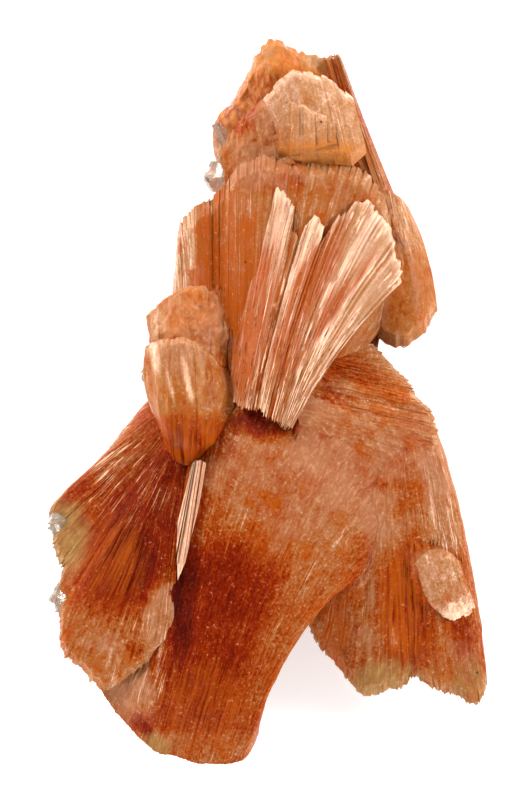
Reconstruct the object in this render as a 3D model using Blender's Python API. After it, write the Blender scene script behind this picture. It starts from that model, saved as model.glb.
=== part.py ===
"""Stilbite specimen: sheaves of tabular crystals grown together, lying on its back.

+X is to the right and +Y up as the specimen is seen from above, and +Z is up from the surface it lies on.
The origin is the middle of the underside. Lengths are millimetres, turned into metres by MM at the end.
"""

import math
import random
from dataclasses import dataclass

import bmesh
import bpy
from mathutils import Vector

MM = 0.001
SPECIMEN_NAME = "stilbite_cluster"

# Colour and finish of the stone
STONE_COLOUR = (0.60, 0.20, 0.06, 1.0)
STONE_ROUGHNESS = 0.35

# How finely each sheaf is built
STATIONS = 4
WALL_SHARE = 0.06
FOOT_ROUNDING = 0.16
SEED = 7

# The box below the flat where the specimen came off its rock
CUTTER_SIZE = 120.0

# Points nearer than this become one after the sheaves are joined
WELD = 0.004


@dataclass
class Sheaf:
    """Crystals side by side. A ray is the line between two crystals, along the front face.

    Each ray is (foot, free end), and each crystal fills the space between two rays.
    """

    rays: list
    # Thickness at the foot and at the free end, and the share of it left at the first and last rays
    depth: tuple = (7.0, 6.0)
    edge_depth: float = 0.45
    # How far the front face bulges half way along, and drops at the foot and at the free end
    swell: float = 0.4
    foot_fall: float = 0.0
    tip_fall: float = 0.0
    tip_fall_from: float = 0.7
    # Sideways bend half way along, of the first and of the last ray
    bows: tuple = ((0.0, 0.0), (0.0, 0.0))
    # Length and height of the slope at the free end, in front, and its length behind
    bevel: tuple = (0.8, 0.9)
    back_bevel: float = 1.2
    # Chosen heights and cuts of crystals, and how far the others vary
    lifts: tuple = ()
    cuts: tuple = ()
    step: float = 0.2
    ragged: float = 0.2


UPPER_FAN_BACK = Sheaf(
    rays=[
        ((-8.6, -0.5, 12.0), (-9.5, 11.0, 11.0)),
        ((-7.4, -1.0, 13.6), (-8.9, 17.6, 12.6)),
        ((-6.4, -1.2, 15.0), (-7.4, 19.3, 13.8)),
        ((-5.4, -1.5, 15.8), (-5.6, 20.0, 14.8)),
        ((-4.2, -1.8, 16.6), (-4.0, 21.6, 15.4)),
        ((-3.0, -2.2, 17.4), (-2.8, 23.6, 16.2)),
        ((-1.8, -2.6, 18.0), (-0.6, 24.5, 17.0)),
        ((-0.8, -2.8, 18.2), (1.9, 24.2, 17.0)),
        ((0.0, -3.0, 18.4), (4.2, 22.6, 16.4)),
        ((0.6, -3.1, 18.2), (7.2, 23.0, 16.0)),
        ((1.2, -3.2, 17.8), (10.0, 22.0, 15.4)),
        ((1.8, -3.4, 17.2), (12.4, 20.0, 14.6)),
        ((2.4, -3.4, 16.2), (14.0, 15.0, 13.4)),
        ((3.2, -3.0, 14.5), (13.4, 9.4, 12.2)),
    ],
    depth=(12.0, 8.0),
    bevel=(1.6, 1.4),
)

UPPER_FAN_FRONT = Sheaf(
    rays=[
        ((-2.6, -1.3, 19.4), (-0.5, 19.3, 17.6)),
        ((-2.0, -1.2, 20.2), (1.1, 21.6, 18.4)),
        ((-1.5, -1.2, 20.4), (2.4, 20.0, 18.6)),
        ((-1.1, -1.3, 20.5), (2.9, 18.9, 18.6)),
        ((-0.7, -1.5, 20.5), (3.9, 17.7, 18.4)),
        ((-0.3, -1.8, 20.6), (4.9, 18.7, 18.6)),
        ((0.1, -2.1, 20.6), (5.9, 17.1, 18.6)),
        ((0.5, -2.3, 20.6), (7.4, 19.3, 18.2)),
        ((0.9, -2.6, 20.6), (8.5, 19.6, 18.2)),
        ((1.2, -2.8, 20.6), (10.5, 19.7, 17.8)),
        ((1.5, -3.0, 20.6), (11.5, 18.5, 17.6)),
        ((1.8, -3.1, 20.6), (12.6, 16.7, 17.4)),
        ((2.1, -3.2, 20.5), (13.3, 14.1, 17.0)),
        ((2.3, -3.3, 20.3), (13.5, 11.7, 16.4)),
    ],
    depth=(5.0, 4.0),
    edge_depth=0.7,
    bows=((0.0, 0.0), (-0.7, 0.5)),
    bevel=(0.5, 0.8),
    lifts=(0.3, 0.5, 0.4, -0.6, 0.6, -0.5, 0.2, 0.3, 0.5, 0.2, 0.6, 0.4, 0.1),
    step=0.1,
)

WING = Sheaf(
    rays=[
        ((9.8, 20.2, 13.4), (10.6, 6.6, 12.8)),
        ((10.6, 21.0, 13.8), (11.7, 5.3, 13.4)),
        ((11.8, 21.0, 14.0), (13.5, 4.7, 13.6)),
        ((12.9, 20.4, 13.8), (15.3, 5.9, 13.2)),
        ((13.6, 19.8, 13.0), (16.3, 7.1, 12.4)),
        ((14.2, 19.2, 11.8), (17.1, 8.7, 11.2)),
    ],
    depth=(7.0, 6.0),
    bows=((0.0, 0.0), (0.5, 0.0)),
    bevel=(1.4, 1.2),
    step=0.08,
    ragged=0.1,
)

SPINE = Sheaf(
    rays=[
        ((9.4, 19.0, 15.0), (5.6, 34.4, 11.6)),
        ((11.4, 18.6, 15.6), (6.6, 34.7, 11.8)),
        ((12.9, 18.0, 15.2), (7.1, 34.7, 11.6)),
        ((14.2, 17.4, 13.4), (7.4, 34.5, 10.4)),
    ],
    depth=(8.0, 6.0),
    edge_depth=0.7,
    bows=((0.0, 0.0), (-0.2, -0.1)),
    bevel=(0.4, 0.5),
    step=0.1,
    ragged=0.1,
)

CAP_PLATE = Sheaf(
    rays=[
        ((2.9, 22.9, 17.4), (-0.5, 30.1, 14.8)),
        ((3.8, 22.8, 18.0), (0.9, 31.7, 15.4)),
        ((5.1, 23.1, 18.4), (2.5, 33.1, 15.6)),
        ((6.7, 23.2, 18.4), (4.5, 32.6, 15.6)),
        ((8.5, 23.1, 18.0), (6.4, 32.0, 15.4)),
        ((9.9, 24.4, 16.8), (8.5, 30.4, 14.6)),
    ],
    depth=(8.0, 6.0),
    edge_depth=0.7,
    swell=0.3,
    foot_fall=1.6,
    bevel=(0.6, 0.8),
    step=0.12,
    ragged=0.1,
)

CAP_STEPS = Sheaf(
    rays=[
        ((1.1, 24.1, 17.6), (1.6, 29.5, 16.8)),
        ((2.3, 23.9, 18.2), (2.4, 29.9, 17.2)),
        ((3.7, 24.1, 18.6), (3.6, 29.4, 17.6)),
        ((4.8, 24.3, 18.6), (4.7, 28.7, 17.6)),
        ((5.9, 24.7, 18.6), (6.0, 28.3, 17.6)),
        ((6.9, 24.9, 18.4), (6.7, 27.7, 17.4)),
    ],
    depth=(4.0, 4.0),
    edge_depth=0.8,
    swell=0.2,
    foot_fall=1.2,
    bevel=(0.4, 0.7),
    lifts=(0.0, 0.4, 0.5, 0.1, -0.1),
    step=0.05,
    ragged=0.1,
)

CAP_FLANK = Sheaf(
    rays=[
        ((-4.2, 20.6, 12.6), (-4.4, 26.2, 11.6)),
        ((-2.8, 21.4, 14.0), (-3.0, 27.8, 12.8)),
        ((-1.2, 22.4, 15.2), (-1.8, 29.2, 13.8)),
        ((0.8, 22.6, 16.4), (-0.2, 30.4, 14.8)),
        ((2.9, 22.6, 17.2), (1.4, 31.2, 15.2)),
    ],
    depth=(7.0, 6.0),
    edge_depth=0.7,
    swell=0.5,
    bevel=(1.0, 1.0),
    step=0.2,
    ragged=0.5,
)

CREST = Sheaf(
    rays=[
        ((-3.4, 19.4, 11.4), (-5.3, 24.8, 9.6)),
        ((-2.6, 20.4, 12.0), (-5.6, 27.7, 10.2)),
        ((-1.6, 21.4, 12.4), (-4.4, 29.3, 10.8)),
        ((-0.6, 22.4, 12.6), (-3.2, 30.8, 11.2)),
        ((0.4, 22.9, 12.8), (-2.2, 32.5, 11.6)),
        ((1.2, 23.4, 13.0), (-1.3, 34.3, 11.8)),
        ((2.2, 23.9, 13.0), (-0.5, 35.9, 11.8)),
        ((3.2, 24.3, 13.0), (0.6, 36.5, 11.8)),
        ((4.0, 24.4, 12.8), (1.9, 35.8, 11.6)),
        ((4.9, 24.4, 12.6), (3.3, 35.1, 11.2)),
        ((6.0, 24.4, 12.2), (5.1, 34.6, 10.8)),
        ((7.2, 24.4, 11.6), (6.9, 34.7, 10.2)),
    ],
    depth=(8.0, 7.0),
    swell=0.8,
    tip_fall=1.0,
    bevel=(0.8, 1.0),
    step=0.2,
    ragged=0.1,
)

CLEAR_TIPS = [
    Sheaf(
        rays=[
            ((-4.5, 25.1, 11.6), (-5.7, 27.7, 11.0)),
            ((-3.9, 25.4, 12.0), (-5.2, 28.0, 11.4)),
            ((-3.3, 25.7, 11.6), (-4.6, 27.8, 11.0)),
        ],
        depth=(2.4, 2.0),
        bevel=(0.2, 0.3),
        step=0.05,
        ragged=0.05,
    ),
    Sheaf(
        rays=[
            ((-3.4, 23.6, 11.4), (-5.8, 23.9, 10.4)),
            ((-3.2, 22.4, 12.0), (-6.6, 22.0, 10.8)),
            ((-3.4, 20.6, 11.4), (-5.9, 20.8, 10.2)),
        ],
        depth=(4.0, 3.0),
        bevel=(0.4, 0.6),
        step=0.05,
        ragged=0.05,
    ),
    Sheaf(
        rays=[
            ((-10.6, 3.4, 17.0), (-12.4, 3.2, 16.4)),
            ((-10.4, 2.4, 17.6), (-12.9, 2.1, 16.8)),
            ((-10.6, 1.2, 17.0), (-12.2, 1.2, 16.2)),
        ],
        depth=(2.6, 2.0),
        bevel=(0.3, 0.4),
        step=0.05,
        ragged=0.05,
    ),
    Sheaf(
        rays=[
            ((-18.4, -11.0, 9.4), (-21.8, -11.6, 8.8)),
            ((-18.4, -12.2, 9.8), (-22.3, -12.9, 9.0)),
            ((-18.6, -13.2, 9.4), (-21.4, -13.1, 8.6)),
        ],
        depth=(3.0, 2.4),
        bevel=(0.3, 0.4),
        step=0.05,
        ragged=0.05,
    ),
    Sheaf(
        rays=[
            ((-17.6, -18.0, 9.8), (-21.1, -18.2, 9.0)),
            ((-17.6, -19.6, 10.4), (-22.0, -20.0, 9.4)),
            ((-17.8, -21.0, 9.8), (-20.9, -21.4, 9.0)),
        ],
        depth=(3.4, 2.6),
        bevel=(0.4, 0.6),
        step=0.05,
        ragged=0.05,
    ),
]

BARREL_TOP = Sheaf(
    rays=[
        ((-10.9, -0.1, 17.0), (-12.0, 8.4, 16.8)),
        ((-10.1, -0.1, 18.6), (-10.9, 9.3, 18.2)),
        ((-9.1, -0.1, 19.4), (-9.7, 10.3, 18.8)),
        ((-7.9, -0.1, 20.0), (-8.6, 11.1, 19.2)),
        ((-6.7, -0.1, 20.0), (-6.7, 11.2, 19.2)),
        ((-5.7, 0.1, 19.4), (-4.5, 11.1, 18.6)),
        ((-4.9, 0.7, 18.2), (-3.4, 9.7, 17.4)),
        ((-4.5, 1.4, 16.6), (-3.2, 8.1, 16.2)),
    ],
    depth=(7.0, 6.0),
    swell=0.4,
    tip_fall=1.2,
    bevel=(0.6, 1.0),
    lifts=(0.3, -0.2, 0.3, 0.2, -0.2, 0.2, 0.0),
    step=0.06,
    ragged=0.15,
)

BARREL_BODY = Sheaf(
    rays=[
        ((-8.9, -5.3, 17.4), (-12.0, 5.4, 18.0)),
        ((-8.5, -5.9, 18.6), (-10.9, 5.8, 19.8)),
        ((-8.0, -6.3, 19.4), (-9.5, 5.9, 20.8)),
        ((-7.5, -6.5, 19.6), (-8.1, 5.7, 21.4)),
        ((-7.0, -6.4, 19.4), (-6.8, 5.3, 21.0)),
        ((-6.5, -6.1, 18.6), (-5.8, 4.3, 19.8)),
        ((-6.1, -5.7, 17.2), (-5.1, 2.7, 18.2)),
    ],
    depth=(6.0, 8.0),
    swell=1.2,
    foot_fall=1.2,
    bows=((-1.5, 0.0), (1.5, 0.0)),
    bevel=(0.4, 0.8),
    lifts=(0.0, 0.2, 0.0, 0.3, 0.1, 0.0),
    step=0.05,
    ragged=0.15,
)

LOWER_LEFT_FAN = Sheaf(
    rays=[
        ((-8.5, 2.4, 12.0), (-12.4, -0.5, 10.6)),
        ((-8.7, 1.4, 13.2), (-13.8, -2.2, 11.2)),
        ((-8.9, 0.5, 14.0), (-15.8, -4.8, 11.6)),
        ((-9.1, -0.1, 14.6), (-17.8, -6.9, 11.6)),
        ((-9.2, -0.7, 15.0), (-20.5, -9.3, 11.0)),
        ((-9.3, -1.2, 15.4), (-22.3, -11.3, 10.4)),
        ((-9.3, -1.7, 15.8), (-21.9, -13.3, 10.4)),
        ((-9.3, -2.1, 16.0), (-21.7, -15.0, 10.6)),
        ((-9.3, -2.5, 16.2), (-20.9, -16.8, 11.0)),
        ((-9.2, -2.9, 16.4), (-21.4, -19.2, 11.0)),
        ((-9.1, -3.3, 16.6), (-21.0, -21.8, 11.6)),
        ((-9.0, -3.7, 16.8), (-21.1, -25.1, 12.2)),
        ((-8.9, -4.1, 17.0), (-19.8, -26.5, 12.8)),
        ((-8.7, -4.5, 17.0), (-18.2, -28.2, 13.2)),
        ((-8.5, -4.9, 17.0), (-16.2, -29.6, 13.8)),
        ((-8.3, -5.3, 17.0), (-13.0, -27.4, 15.2)),
        ((-8.1, -5.7, 16.8), (-10.6, -25.4, 16.0)),
        ((-7.9, -6.1, 16.4), (-9.0, -22.9, 16.2)),
        ((-7.9, -6.5, 15.4), (-8.6, -19.6, 15.6)),
    ],
    depth=(8.0, 6.0),
    swell=1.2,
    bevel=(0.9, 1.2),
    lifts=(0.0, 0.0, 0.0, 0.2, 0.1, -0.1, 0.2, -0.1, -0.3, 0.1, 0.2, 0.0, 0.2, 0.1, 0.1, 0.1, 0.3, 0.1),
    cuts=(0.0, 0.0, 0.2, 0.0, 0.3, 0.0, 0.3, 0.0, 0.8, 0.0, 0.3, 0.0, 0.2, 0.0, 0.2, 0.0, 0.0, 0.3),
    step=0.06,
    ragged=0.12,
)

LOWER_MIDDLE_FAN = Sheaf(
    rays=[
        ((-16.8, -29.2, 11.6), (-11.8, -17.5, 12.8)),
        ((-15.3, -31.2, 12.2), (-8.9, -9.4, 15.0)),
        ((-13.4, -32.9, 13.0), (-8.0, -6.4, 17.2)),
        ((-11.7, -34.9, 13.8), (-6.9, -4.9, 18.6)),
        ((-10.7, -35.6, 14.4), (-5.3, -4.2, 19.4)),
        ((-9.2, -35.4, 15.0), (-3.5, -3.5, 20.0)),
        ((-7.7, -36.1, 15.4), (-1.5, -2.9, 20.4)),
        ((-6.2, -36.4, 15.6), (0.5, -2.6, 20.6)),
        ((-5.0, -36.5, 15.6), (2.7, -2.7, 20.6)),
        ((-4.2, -36.5, 15.6), (5.1, -3.3, 20.4)),
        ((-3.4, -36.4, 15.4), (7.5, -4.3, 20.0)),
        ((-2.7, -36.2, 15.2), (9.7, -5.9, 19.4)),
        ((-2.1, -35.9, 14.8), (11.5, -8.3, 18.8)),
        ((-1.6, -35.3, 14.2), (12.7, -11.3, 18.0)),
        ((-1.2, -34.4, 13.4), (13.0, -13.9, 17.0)),
        ((-0.9, -33.4, 12.4), (12.4, -16.2, 15.8)),
    ],
    depth=(9.0, 12.0),
    swell=1.4,
    bows=((1.4, 0.0), (-1.9, 1.4)),
    foot_fall=1.0,
    tip_fall=2.2,
    tip_fall_from=0.78,
    bevel=(1.0, 0.9),
    lifts=(0.0, 0.0, 0.1, 0.1, 0.0, 0.1, 0.0, 0.05, 0.0, 0.1, 0.0, 0.05, 0.1, 0.0, 0.1),
    step=0.04,
    ragged=0.12,
)

LOWER_RIGHT_FAN = Sheaf(
    rays=[
        ((7.8, -14.1, 13.6), (4.1, -23.0, 11.0)),
        ((8.3, -12.1, 14.4), (4.9, -24.7, 11.2)),
        ((8.9, -10.1, 15.2), (6.5, -26.6, 11.0)),
        ((9.7, -8.6, 15.8), (8.2, -28.9, 10.6)),
        ((10.5, -7.1, 16.2), (9.9, -30.4, 10.4)),
        ((11.3, -5.6, 16.4), (11.8, -30.0, 10.6)),
        ((12.2, -4.6, 16.6), (14.1, -29.5, 11.0)),
        ((12.9, -3.8, 16.6), (14.5, -27.8, 11.4)),
        ((13.7, -3.1, 16.4), (16.7, -29.5, 11.2)),
        ((14.5, -2.6, 16.0), (18.5, -30.2, 11.0)),
        ((15.3, -2.1, 15.6), (19.9, -31.0, 10.6)),
        ((16.0, -1.7, 15.0), (21.4, -30.9, 10.0)),
        ((16.6, -2.1, 14.0), (22.3, -29.0, 9.4)),
        ((17.0, -3.1, 12.6), (21.9, -26.0, 9.2)),
    ],
    depth=(8.0, 6.0),
    swell=0.8,
    bows=((0.0, 0.0), (0.6, 0.3)),
    bevel=(1.4, 1.2),
    lifts=(0.0, 0.1, 0.2, 0.0, 0.2, 0.1, -0.4, 0.0, 0.2, 0.0, 0.2, 0.3, 0.1),
    cuts=(0.0, 0.0, 0.2, 0.0, 0.0, 0.3, 0.0, 0.2, 0.0, 0.4, 0.0, 0.0, 0.2),
    step=0.06,
    ragged=0.12,
)

PATCH = Sheaf(
    rays=[
        ((14.7, -15.7, 15.4), (17.3, -21.3, 14.2)),
        ((16.1, -15.2, 15.8), (18.5, -22.3, 14.4)),
        ((17.8, -14.9, 15.4), (19.9, -22.1, 13.8)),
        ((19.1, -16.1, 14.2), (21.0, -21.3, 12.6)),
    ],
    depth=(4.0, 3.6),
    edge_depth=0.7,
    swell=0.3,
    foot_fall=0.6,
    bevel=(0.6, 0.6),
    step=0.08,
    ragged=0.2,
)

SHOULDER = Sheaf(
    rays=[
        ((6.3, 5.4, 14.6), (11.0, 5.5, 12.4)),
        ((5.5, 4.7, 15.6), (12.8, 3.3, 13.0)),
        ((4.7, 3.9, 16.4), (14.6, 1.5, 13.6)),
        ((4.1, 2.9, 17.2), (15.2, 0.1, 14.2)),
        ((3.5, 1.8, 17.8), (16.6, -1.1, 14.4)),
        ((3.1, 0.5, 18.4), (17.2, -3.3, 14.8)),
        ((2.9, -1.1, 18.8), (17.4, -5.3, 15.4)),
        ((3.1, -2.9, 18.8), (16.9, -7.7, 15.8)),
        ((3.9, -4.7, 18.2), (15.7, -10.1, 15.6)),
        ((4.9, -6.3, 17.2), (13.7, -12.1, 15.0)),
    ],
    depth=(11.0, 7.0),
    bevel=(0.8, 1.0),
    lifts=(0.0, 0.2, 0.0, 0.3, 0.0, 0.2, 0.1, 0.0, 0.0),
    step=0.08,
    ragged=0.12,
)

BACK_UPPER = Sheaf(
    rays=[
        ((-6.4, -7.0, 9.0), (-6.0, 15.0, 8.6)),
        ((-4.4, -7.4, 11.0), (-4.2, 22.0, 10.0)),
        ((-1.6, -7.6, 12.0), (-1.4, 27.0, 10.4)),
        ((1.4, -7.6, 12.0), (2.2, 30.4, 10.4)),
        ((4.6, -7.4, 12.0), (7.4, 28.6, 11.6)),
        ((7.4, -7.0, 11.0), (10.6, 22.0, 11.6)),
        ((9.4, -6.4, 9.0), (12.2, 12.0, 8.6)),
    ],
    depth=(13.0, 9.0),
    back_bevel=5.0,
    step=0.5,
    ragged=1.0,
)

BACK_LOWER_LEFT = Sheaf(
    rays=[
        ((-4.4, 3.6, 9.4), (-14.6, -9.6, 8.0)),
        ((-4.6, 1.2, 11.4), (-17.0, -15.4, 8.8)),
        ((-4.0, -1.0, 12.4), (-15.8, -22.6, 9.6)),
        ((-2.8, -2.6, 12.8), (-12.4, -27.6, 10.0)),
        ((-1.0, -3.4, 12.8), (-7.8, -31.4, 10.0)),
        ((1.2, -3.2, 12.4), (-3.2, -30.6, 9.6)),
        ((3.0, -2.2, 11.4), (-0.4, -25.0, 9.0)),
        ((4.4, -0.6, 9.4), (2.2, -18.0, 8.0)),
    ],
    depth=(13.5, 8.0),
    back_bevel=5.0,
    step=0.5,
    ragged=1.0,
)

BACK_LOWER_RIGHT = Sheaf(
    rays=[
        ((1.8, 1.4, 9.4), (7.4, -20.0, 8.4)),
        ((4.6, 2.2, 11.6), (10.2, -24.6, 9.0)),
        ((7.2, 2.6, 12.2), (13.4, -25.8, 9.2)),
        ((9.8, 2.2, 11.6), (16.8, -25.2, 8.8)),
        ((11.8, 1.2, 9.4), (18.6, -20.6, 8.0)),
    ],
    depth=(12.5, 7.0),
    back_bevel=5.0,
    step=0.5,
    ragged=1.0,
)

SHEAVES = [
    BACK_UPPER,
    BACK_LOWER_LEFT,
    BACK_LOWER_RIGHT,
    CREST,
    SPINE,
    WING,
    CAP_FLANK,
    CAP_PLATE,
    CAP_STEPS,
    UPPER_FAN_BACK,
    UPPER_FAN_FRONT,
    SHOULDER,
    LOWER_RIGHT_FAN,
    PATCH,
    LOWER_LEFT_FAN,
    LOWER_MIDDLE_FAN,
    BARREL_TOP,
    BARREL_BODY,
] + CLEAR_TIPS


def blend(start, end, share):
    return start + (end - start) * share


def hump(share):
    """0 at both ends and 1 in the middle."""
    return 4 * share * (1 - share)


def ease(share):
    share = min(1.0, max(0.0, share))
    return share * share * (3 - 2 * share)


def front_rise(sheaf, share):
    """How far the front face lies above the straight line from foot to free end."""
    rise = sheaf.swell * hump(share)
    rise -= sheaf.foot_fall * ease(1 - share / FOOT_ROUNDING)
    return rise - sheaf.tip_fall * ease((share - sheaf.tip_fall_from) / (1 - sheaf.tip_fall_from))


def thickness(sheaf, across, share):
    """Full in the middle of the sheaf and rounded off towards its first and last rays."""
    roundness = math.sqrt(max(0.0, 1 - (2 * across - 1) ** 2))
    return blend(*sheaf.depth, share) * blend(sheaf.edge_depth, 1.0, roundness)


def slice_points(sheaf, position, lift, cut):
    """Closed outline of an upright slice: along the front face, over the free end, and back behind."""
    left = min(int(position), len(sheaf.rays) - 2)
    foot, tip = (Vector(sheaf.rays[left][end]).lerp(Vector(sheaf.rays[left + 1][end]), position - left)
                 for end in (0, 1))
    across = position / (len(sheaf.rays) - 1)
    length = (tip - foot).length
    bend = Vector((*sheaf.bows[0], 0)).lerp(Vector((*sheaf.bows[1], 0)), across)

    def point(share, height):
        return foot.lerp(tip, share) + bend * hump(share) + Vector((0, 0, height))

    def front(share):
        return point(share, front_rise(sheaf, share) + lift)

    def back(share):
        return point(share, -thickness(sheaf, across, share) + lift)

    end = 1 - cut / length
    front_end = end - sheaf.bevel[0] / length
    back_end = end - sheaf.back_bevel / length
    steps = [i / (STATIONS - 1) for i in range(STATIONS)]
    ridge = point(end, front_rise(sheaf, end) + lift - sheaf.bevel[1])
    return [front(s * front_end) for s in steps] + [ridge] + [back(s * back_end) for s in steps[::-1]]


def sheaf_mesh(sheaf, name, draw):
    """One closed mesh. A crystal is two slices, and the narrow wall to the next crystal is a step."""
    slices = []
    for i in range(len(sheaf.rays) - 1):
        lift = (sheaf.lifts[i] if sheaf.lifts else 0) + draw.uniform(-sheaf.step, sheaf.step)
        cut = (sheaf.cuts[i] if sheaf.cuts else 0) + draw.uniform(-sheaf.ragged, sheaf.ragged)
        slices.append(slice_points(sheaf, i + WALL_SHARE, lift, cut))
        slices.append(slice_points(sheaf, i + 1 - WALL_SHARE, lift, cut))
    count = len(slices[0])
    faces = []
    for i in range(len(slices) - 1):
        near, far = i * count, (i + 1) * count
        for j in range(count):
            k = (j + 1) % count
            faces.append((near + j, far + j, far + k, near + k))
    for start in (0, (len(slices) - 1) * count):
        for j in range(STATIONS - 1):
            faces.append((start + j, start + j + 1, start + count - 2 - j, start + count - 1 - j))
        faces.append((start + STATIONS - 1, start + STATIONS, start + STATIONS + 1))
    mesh = bpy.data.meshes.new(name)
    mesh.from_pydata([p * MM for one in slices for p in one], [], faces)
    shape = bmesh.new()
    shape.from_mesh(mesh)
    bmesh.ops.recalc_face_normals(shape, faces=shape.faces)
    bmesh.ops.triangulate(shape, faces=shape.faces)
    shape.to_mesh(mesh)
    shape.free()
    return mesh


def clear_scene():
    for old in list(bpy.data.objects):
        bpy.data.objects.remove(old, do_unlink=True)


def stone_material():
    material = bpy.data.materials.new("stilbite")
    material.use_nodes = True
    shader = material.node_tree.nodes["Principled BSDF"]
    shader.inputs["Base Color"].default_value = STONE_COLOUR
    shader.inputs["Roughness"].default_value = STONE_ROUGHNESS
    shader.inputs["Metallic"].default_value = 0.0
    return material


def stone_object(mesh, collection):
    stone = bpy.data.objects.new(mesh.name, mesh)
    collection.objects.link(stone)
    return stone


def rest_cutter(collection):
    """A box below the flat that the specimen rests on."""
    mesh = bpy.data.meshes.new("rest_cutter")
    shape = bmesh.new()
    bmesh.ops.create_cube(shape, size=CUTTER_SIZE * MM)
    bmesh.ops.translate(shape, verts=shape.verts, vec=(0, 0, -CUTTER_SIZE / 2 * MM))
    shape.to_mesh(mesh)
    shape.free()
    return stone_object(mesh, collection)


def grow_together(specimen, sheaves, cutter):
    """Join the sheaves in one solid, cut flat below, and take out the points that all but touch."""
    union = specimen.modifiers.new("grown together", "BOOLEAN")
    union.operation = "UNION"
    union.operand_type = "COLLECTION"
    union.collection = sheaves
    rest = specimen.modifiers.new("flat to rest on", "BOOLEAN")
    rest.operation = "DIFFERENCE"
    rest.object = cutter
    seen = specimen.evaluated_get(bpy.context.evaluated_depsgraph_get())
    whole = bpy.data.meshes.new_from_object(seen)
    specimen.modifiers.clear()
    specimen.data = whole
    shape = bmesh.new()
    shape.from_mesh(whole)
    bmesh.ops.remove_doubles(shape, verts=shape.verts, dist=WELD * MM)
    bmesh.ops.dissolve_degenerate(shape, edges=shape.edges, dist=WELD * MM)
    bmesh.ops.triangulate(shape, faces=shape.faces)
    shape.to_mesh(whole)
    shape.free()


def main():
    clear_scene()
    draw = random.Random(SEED)
    material = stone_material()
    scene = bpy.context.scene.collection
    sheaves = bpy.data.collections.new("sheaves")
    scene.children.link(sheaves)
    for number, sheaf in enumerate(SHEAVES):
        mesh = sheaf_mesh(sheaf, f"sheaf_{number}", draw)
        mesh.materials.append(material)
        stone_object(mesh, sheaves if number else scene)
    specimen = scene.objects[0]
    specimen.name = SPECIMEN_NAME
    grow_together(specimen, sheaves, rest_cutter(scene))
    for helper in [each for each in bpy.data.objects if each is not specimen]:
        bpy.data.objects.remove(helper, do_unlink=True)


main()
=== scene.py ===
import math
from dataclasses import dataclass, field
from types import SimpleNamespace

import bpy
import numpy as np
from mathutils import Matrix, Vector


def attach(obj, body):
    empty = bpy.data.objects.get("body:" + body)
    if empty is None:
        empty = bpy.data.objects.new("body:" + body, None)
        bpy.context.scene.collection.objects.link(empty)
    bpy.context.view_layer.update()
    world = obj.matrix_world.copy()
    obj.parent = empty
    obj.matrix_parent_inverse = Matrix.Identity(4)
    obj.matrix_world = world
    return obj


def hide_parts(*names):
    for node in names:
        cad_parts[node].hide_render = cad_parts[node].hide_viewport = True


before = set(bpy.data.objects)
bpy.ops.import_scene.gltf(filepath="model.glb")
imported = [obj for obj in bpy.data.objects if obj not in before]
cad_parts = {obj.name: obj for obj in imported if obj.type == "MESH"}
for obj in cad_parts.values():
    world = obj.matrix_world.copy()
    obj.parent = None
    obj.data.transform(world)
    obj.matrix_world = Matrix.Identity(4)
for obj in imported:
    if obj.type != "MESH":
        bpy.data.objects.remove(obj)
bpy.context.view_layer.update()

# Lengths are millimetres in this file's own values, turned into metres by MM.
MM = 0.001
SPECIMEN = "stilbite_cluster"

# The photograph shows 53.1 by 80 mm, and its middle is here
VIEW_HEIGHT = 80.0
VIEW_MIDDLE = (-0.15, -0.1)
VIEW_LEVEL = 12.0
LENS = 250.0
SENSOR = 36.0

# The paper's half width and its height
FLOOR_HALF = 3.0
FLOOR_LEVEL = -0.02 * MM

# Share of a sheaf's length over which its front face drops at the foot
FOOT_ROUNDING = 0.16
# Share of a blade's width that is left between it and the next one
WALL = 0.06
# How much a raised blade is painted paler, and a sunken one painted darker, for each millimetre, as painted
# light and shade; and how wide the painted highlight on the free ends is
PAINTED_LIFT_SHADE = 0.10
EDGE_HIGHLIGHT_WIDTH = 0.9
# Bumps of the faces' grain to a millimetre: across the blades, along them and through the sheaf
GRAIN_DENSITY = (2.2, 0.9, 2.0)
# How frosted the stone is where two sheaves run into each other
MERGED_FROST = 0.6
# Edges sharper than this many degrees stay sharp
SHARP_ANGLE = 24


@dataclass
class Sheaf:
    """Crystals side by side. A ray is the line between two crystals, along the front face.

    Each ray is its foot's x, y and z and then its free end's, and a crystal fills the space between two.
    """

    rays: list
    # Thickness at the foot and at the free end, and the share of it left at the first and last rays
    depth: tuple = (7.0, 6.0)
    edge_depth: float = 0.45
    # How far the front face bulges half way along, and drops at the foot and at the free end
    swell: float = 0.4
    foot_fall: float = 0.0
    tip_fall: float = 0.0
    tip_fall_from: float = 0.7
    # Sideways bend half way along, of the first and of the last ray
    bows: tuple = ((0.0, 0.0), (0.0, 0.0))
    # Length and height of the slope at the free end, in front, and its length behind
    bevel: tuple = (0.8, 0.9)
    back_bevel: float = 1.2
    # Chosen heights and cuts of crystals, and how far the others vary
    lifts: tuple = ()
    cuts: tuple = ()
    step: float = 0.2
    ragged: float = 0.2


UPPER_FAN_BACK = Sheaf(
    rays=[
        (-8.6, -0.5, 12, -9.5, 11, 11), (-7.4, -1, 13.6, -8.9, 17.6, 12.6),
        (-6.4, -1.2, 15, -7.4, 19.3, 13.8), (-5.4, -1.5, 15.8, -5.6, 20, 14.8),
        (-4.2, -1.8, 16.6, -4, 21.6, 15.4), (-3, -2.2, 17.2, -2.8, 23.6, 16.6),
        (-1.8, -2.6, 17.6, -0.6, 24.5, 17.5), (-0.8, -2.4, 17.8, 1.9, 24.2, 17.6),
        (0, -2.4, 17.8, 4.2, 23.8, 17.6), (0.6, -2.4, 17.8, 7.2, 24, 17.2),
        (1.2, -2.6, 17.6, 10, 22.8, 16.4), (1.8, -3.4, 17.2, 12.4, 20, 14.6),
        (2.4, -3.4, 16.2, 14, 15, 13.4), (3.2, -3, 14.5, 13.4, 9.4, 12.2),
    ],
    depth=(12, 8), bevel=(1.6, 1.4),
)

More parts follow.
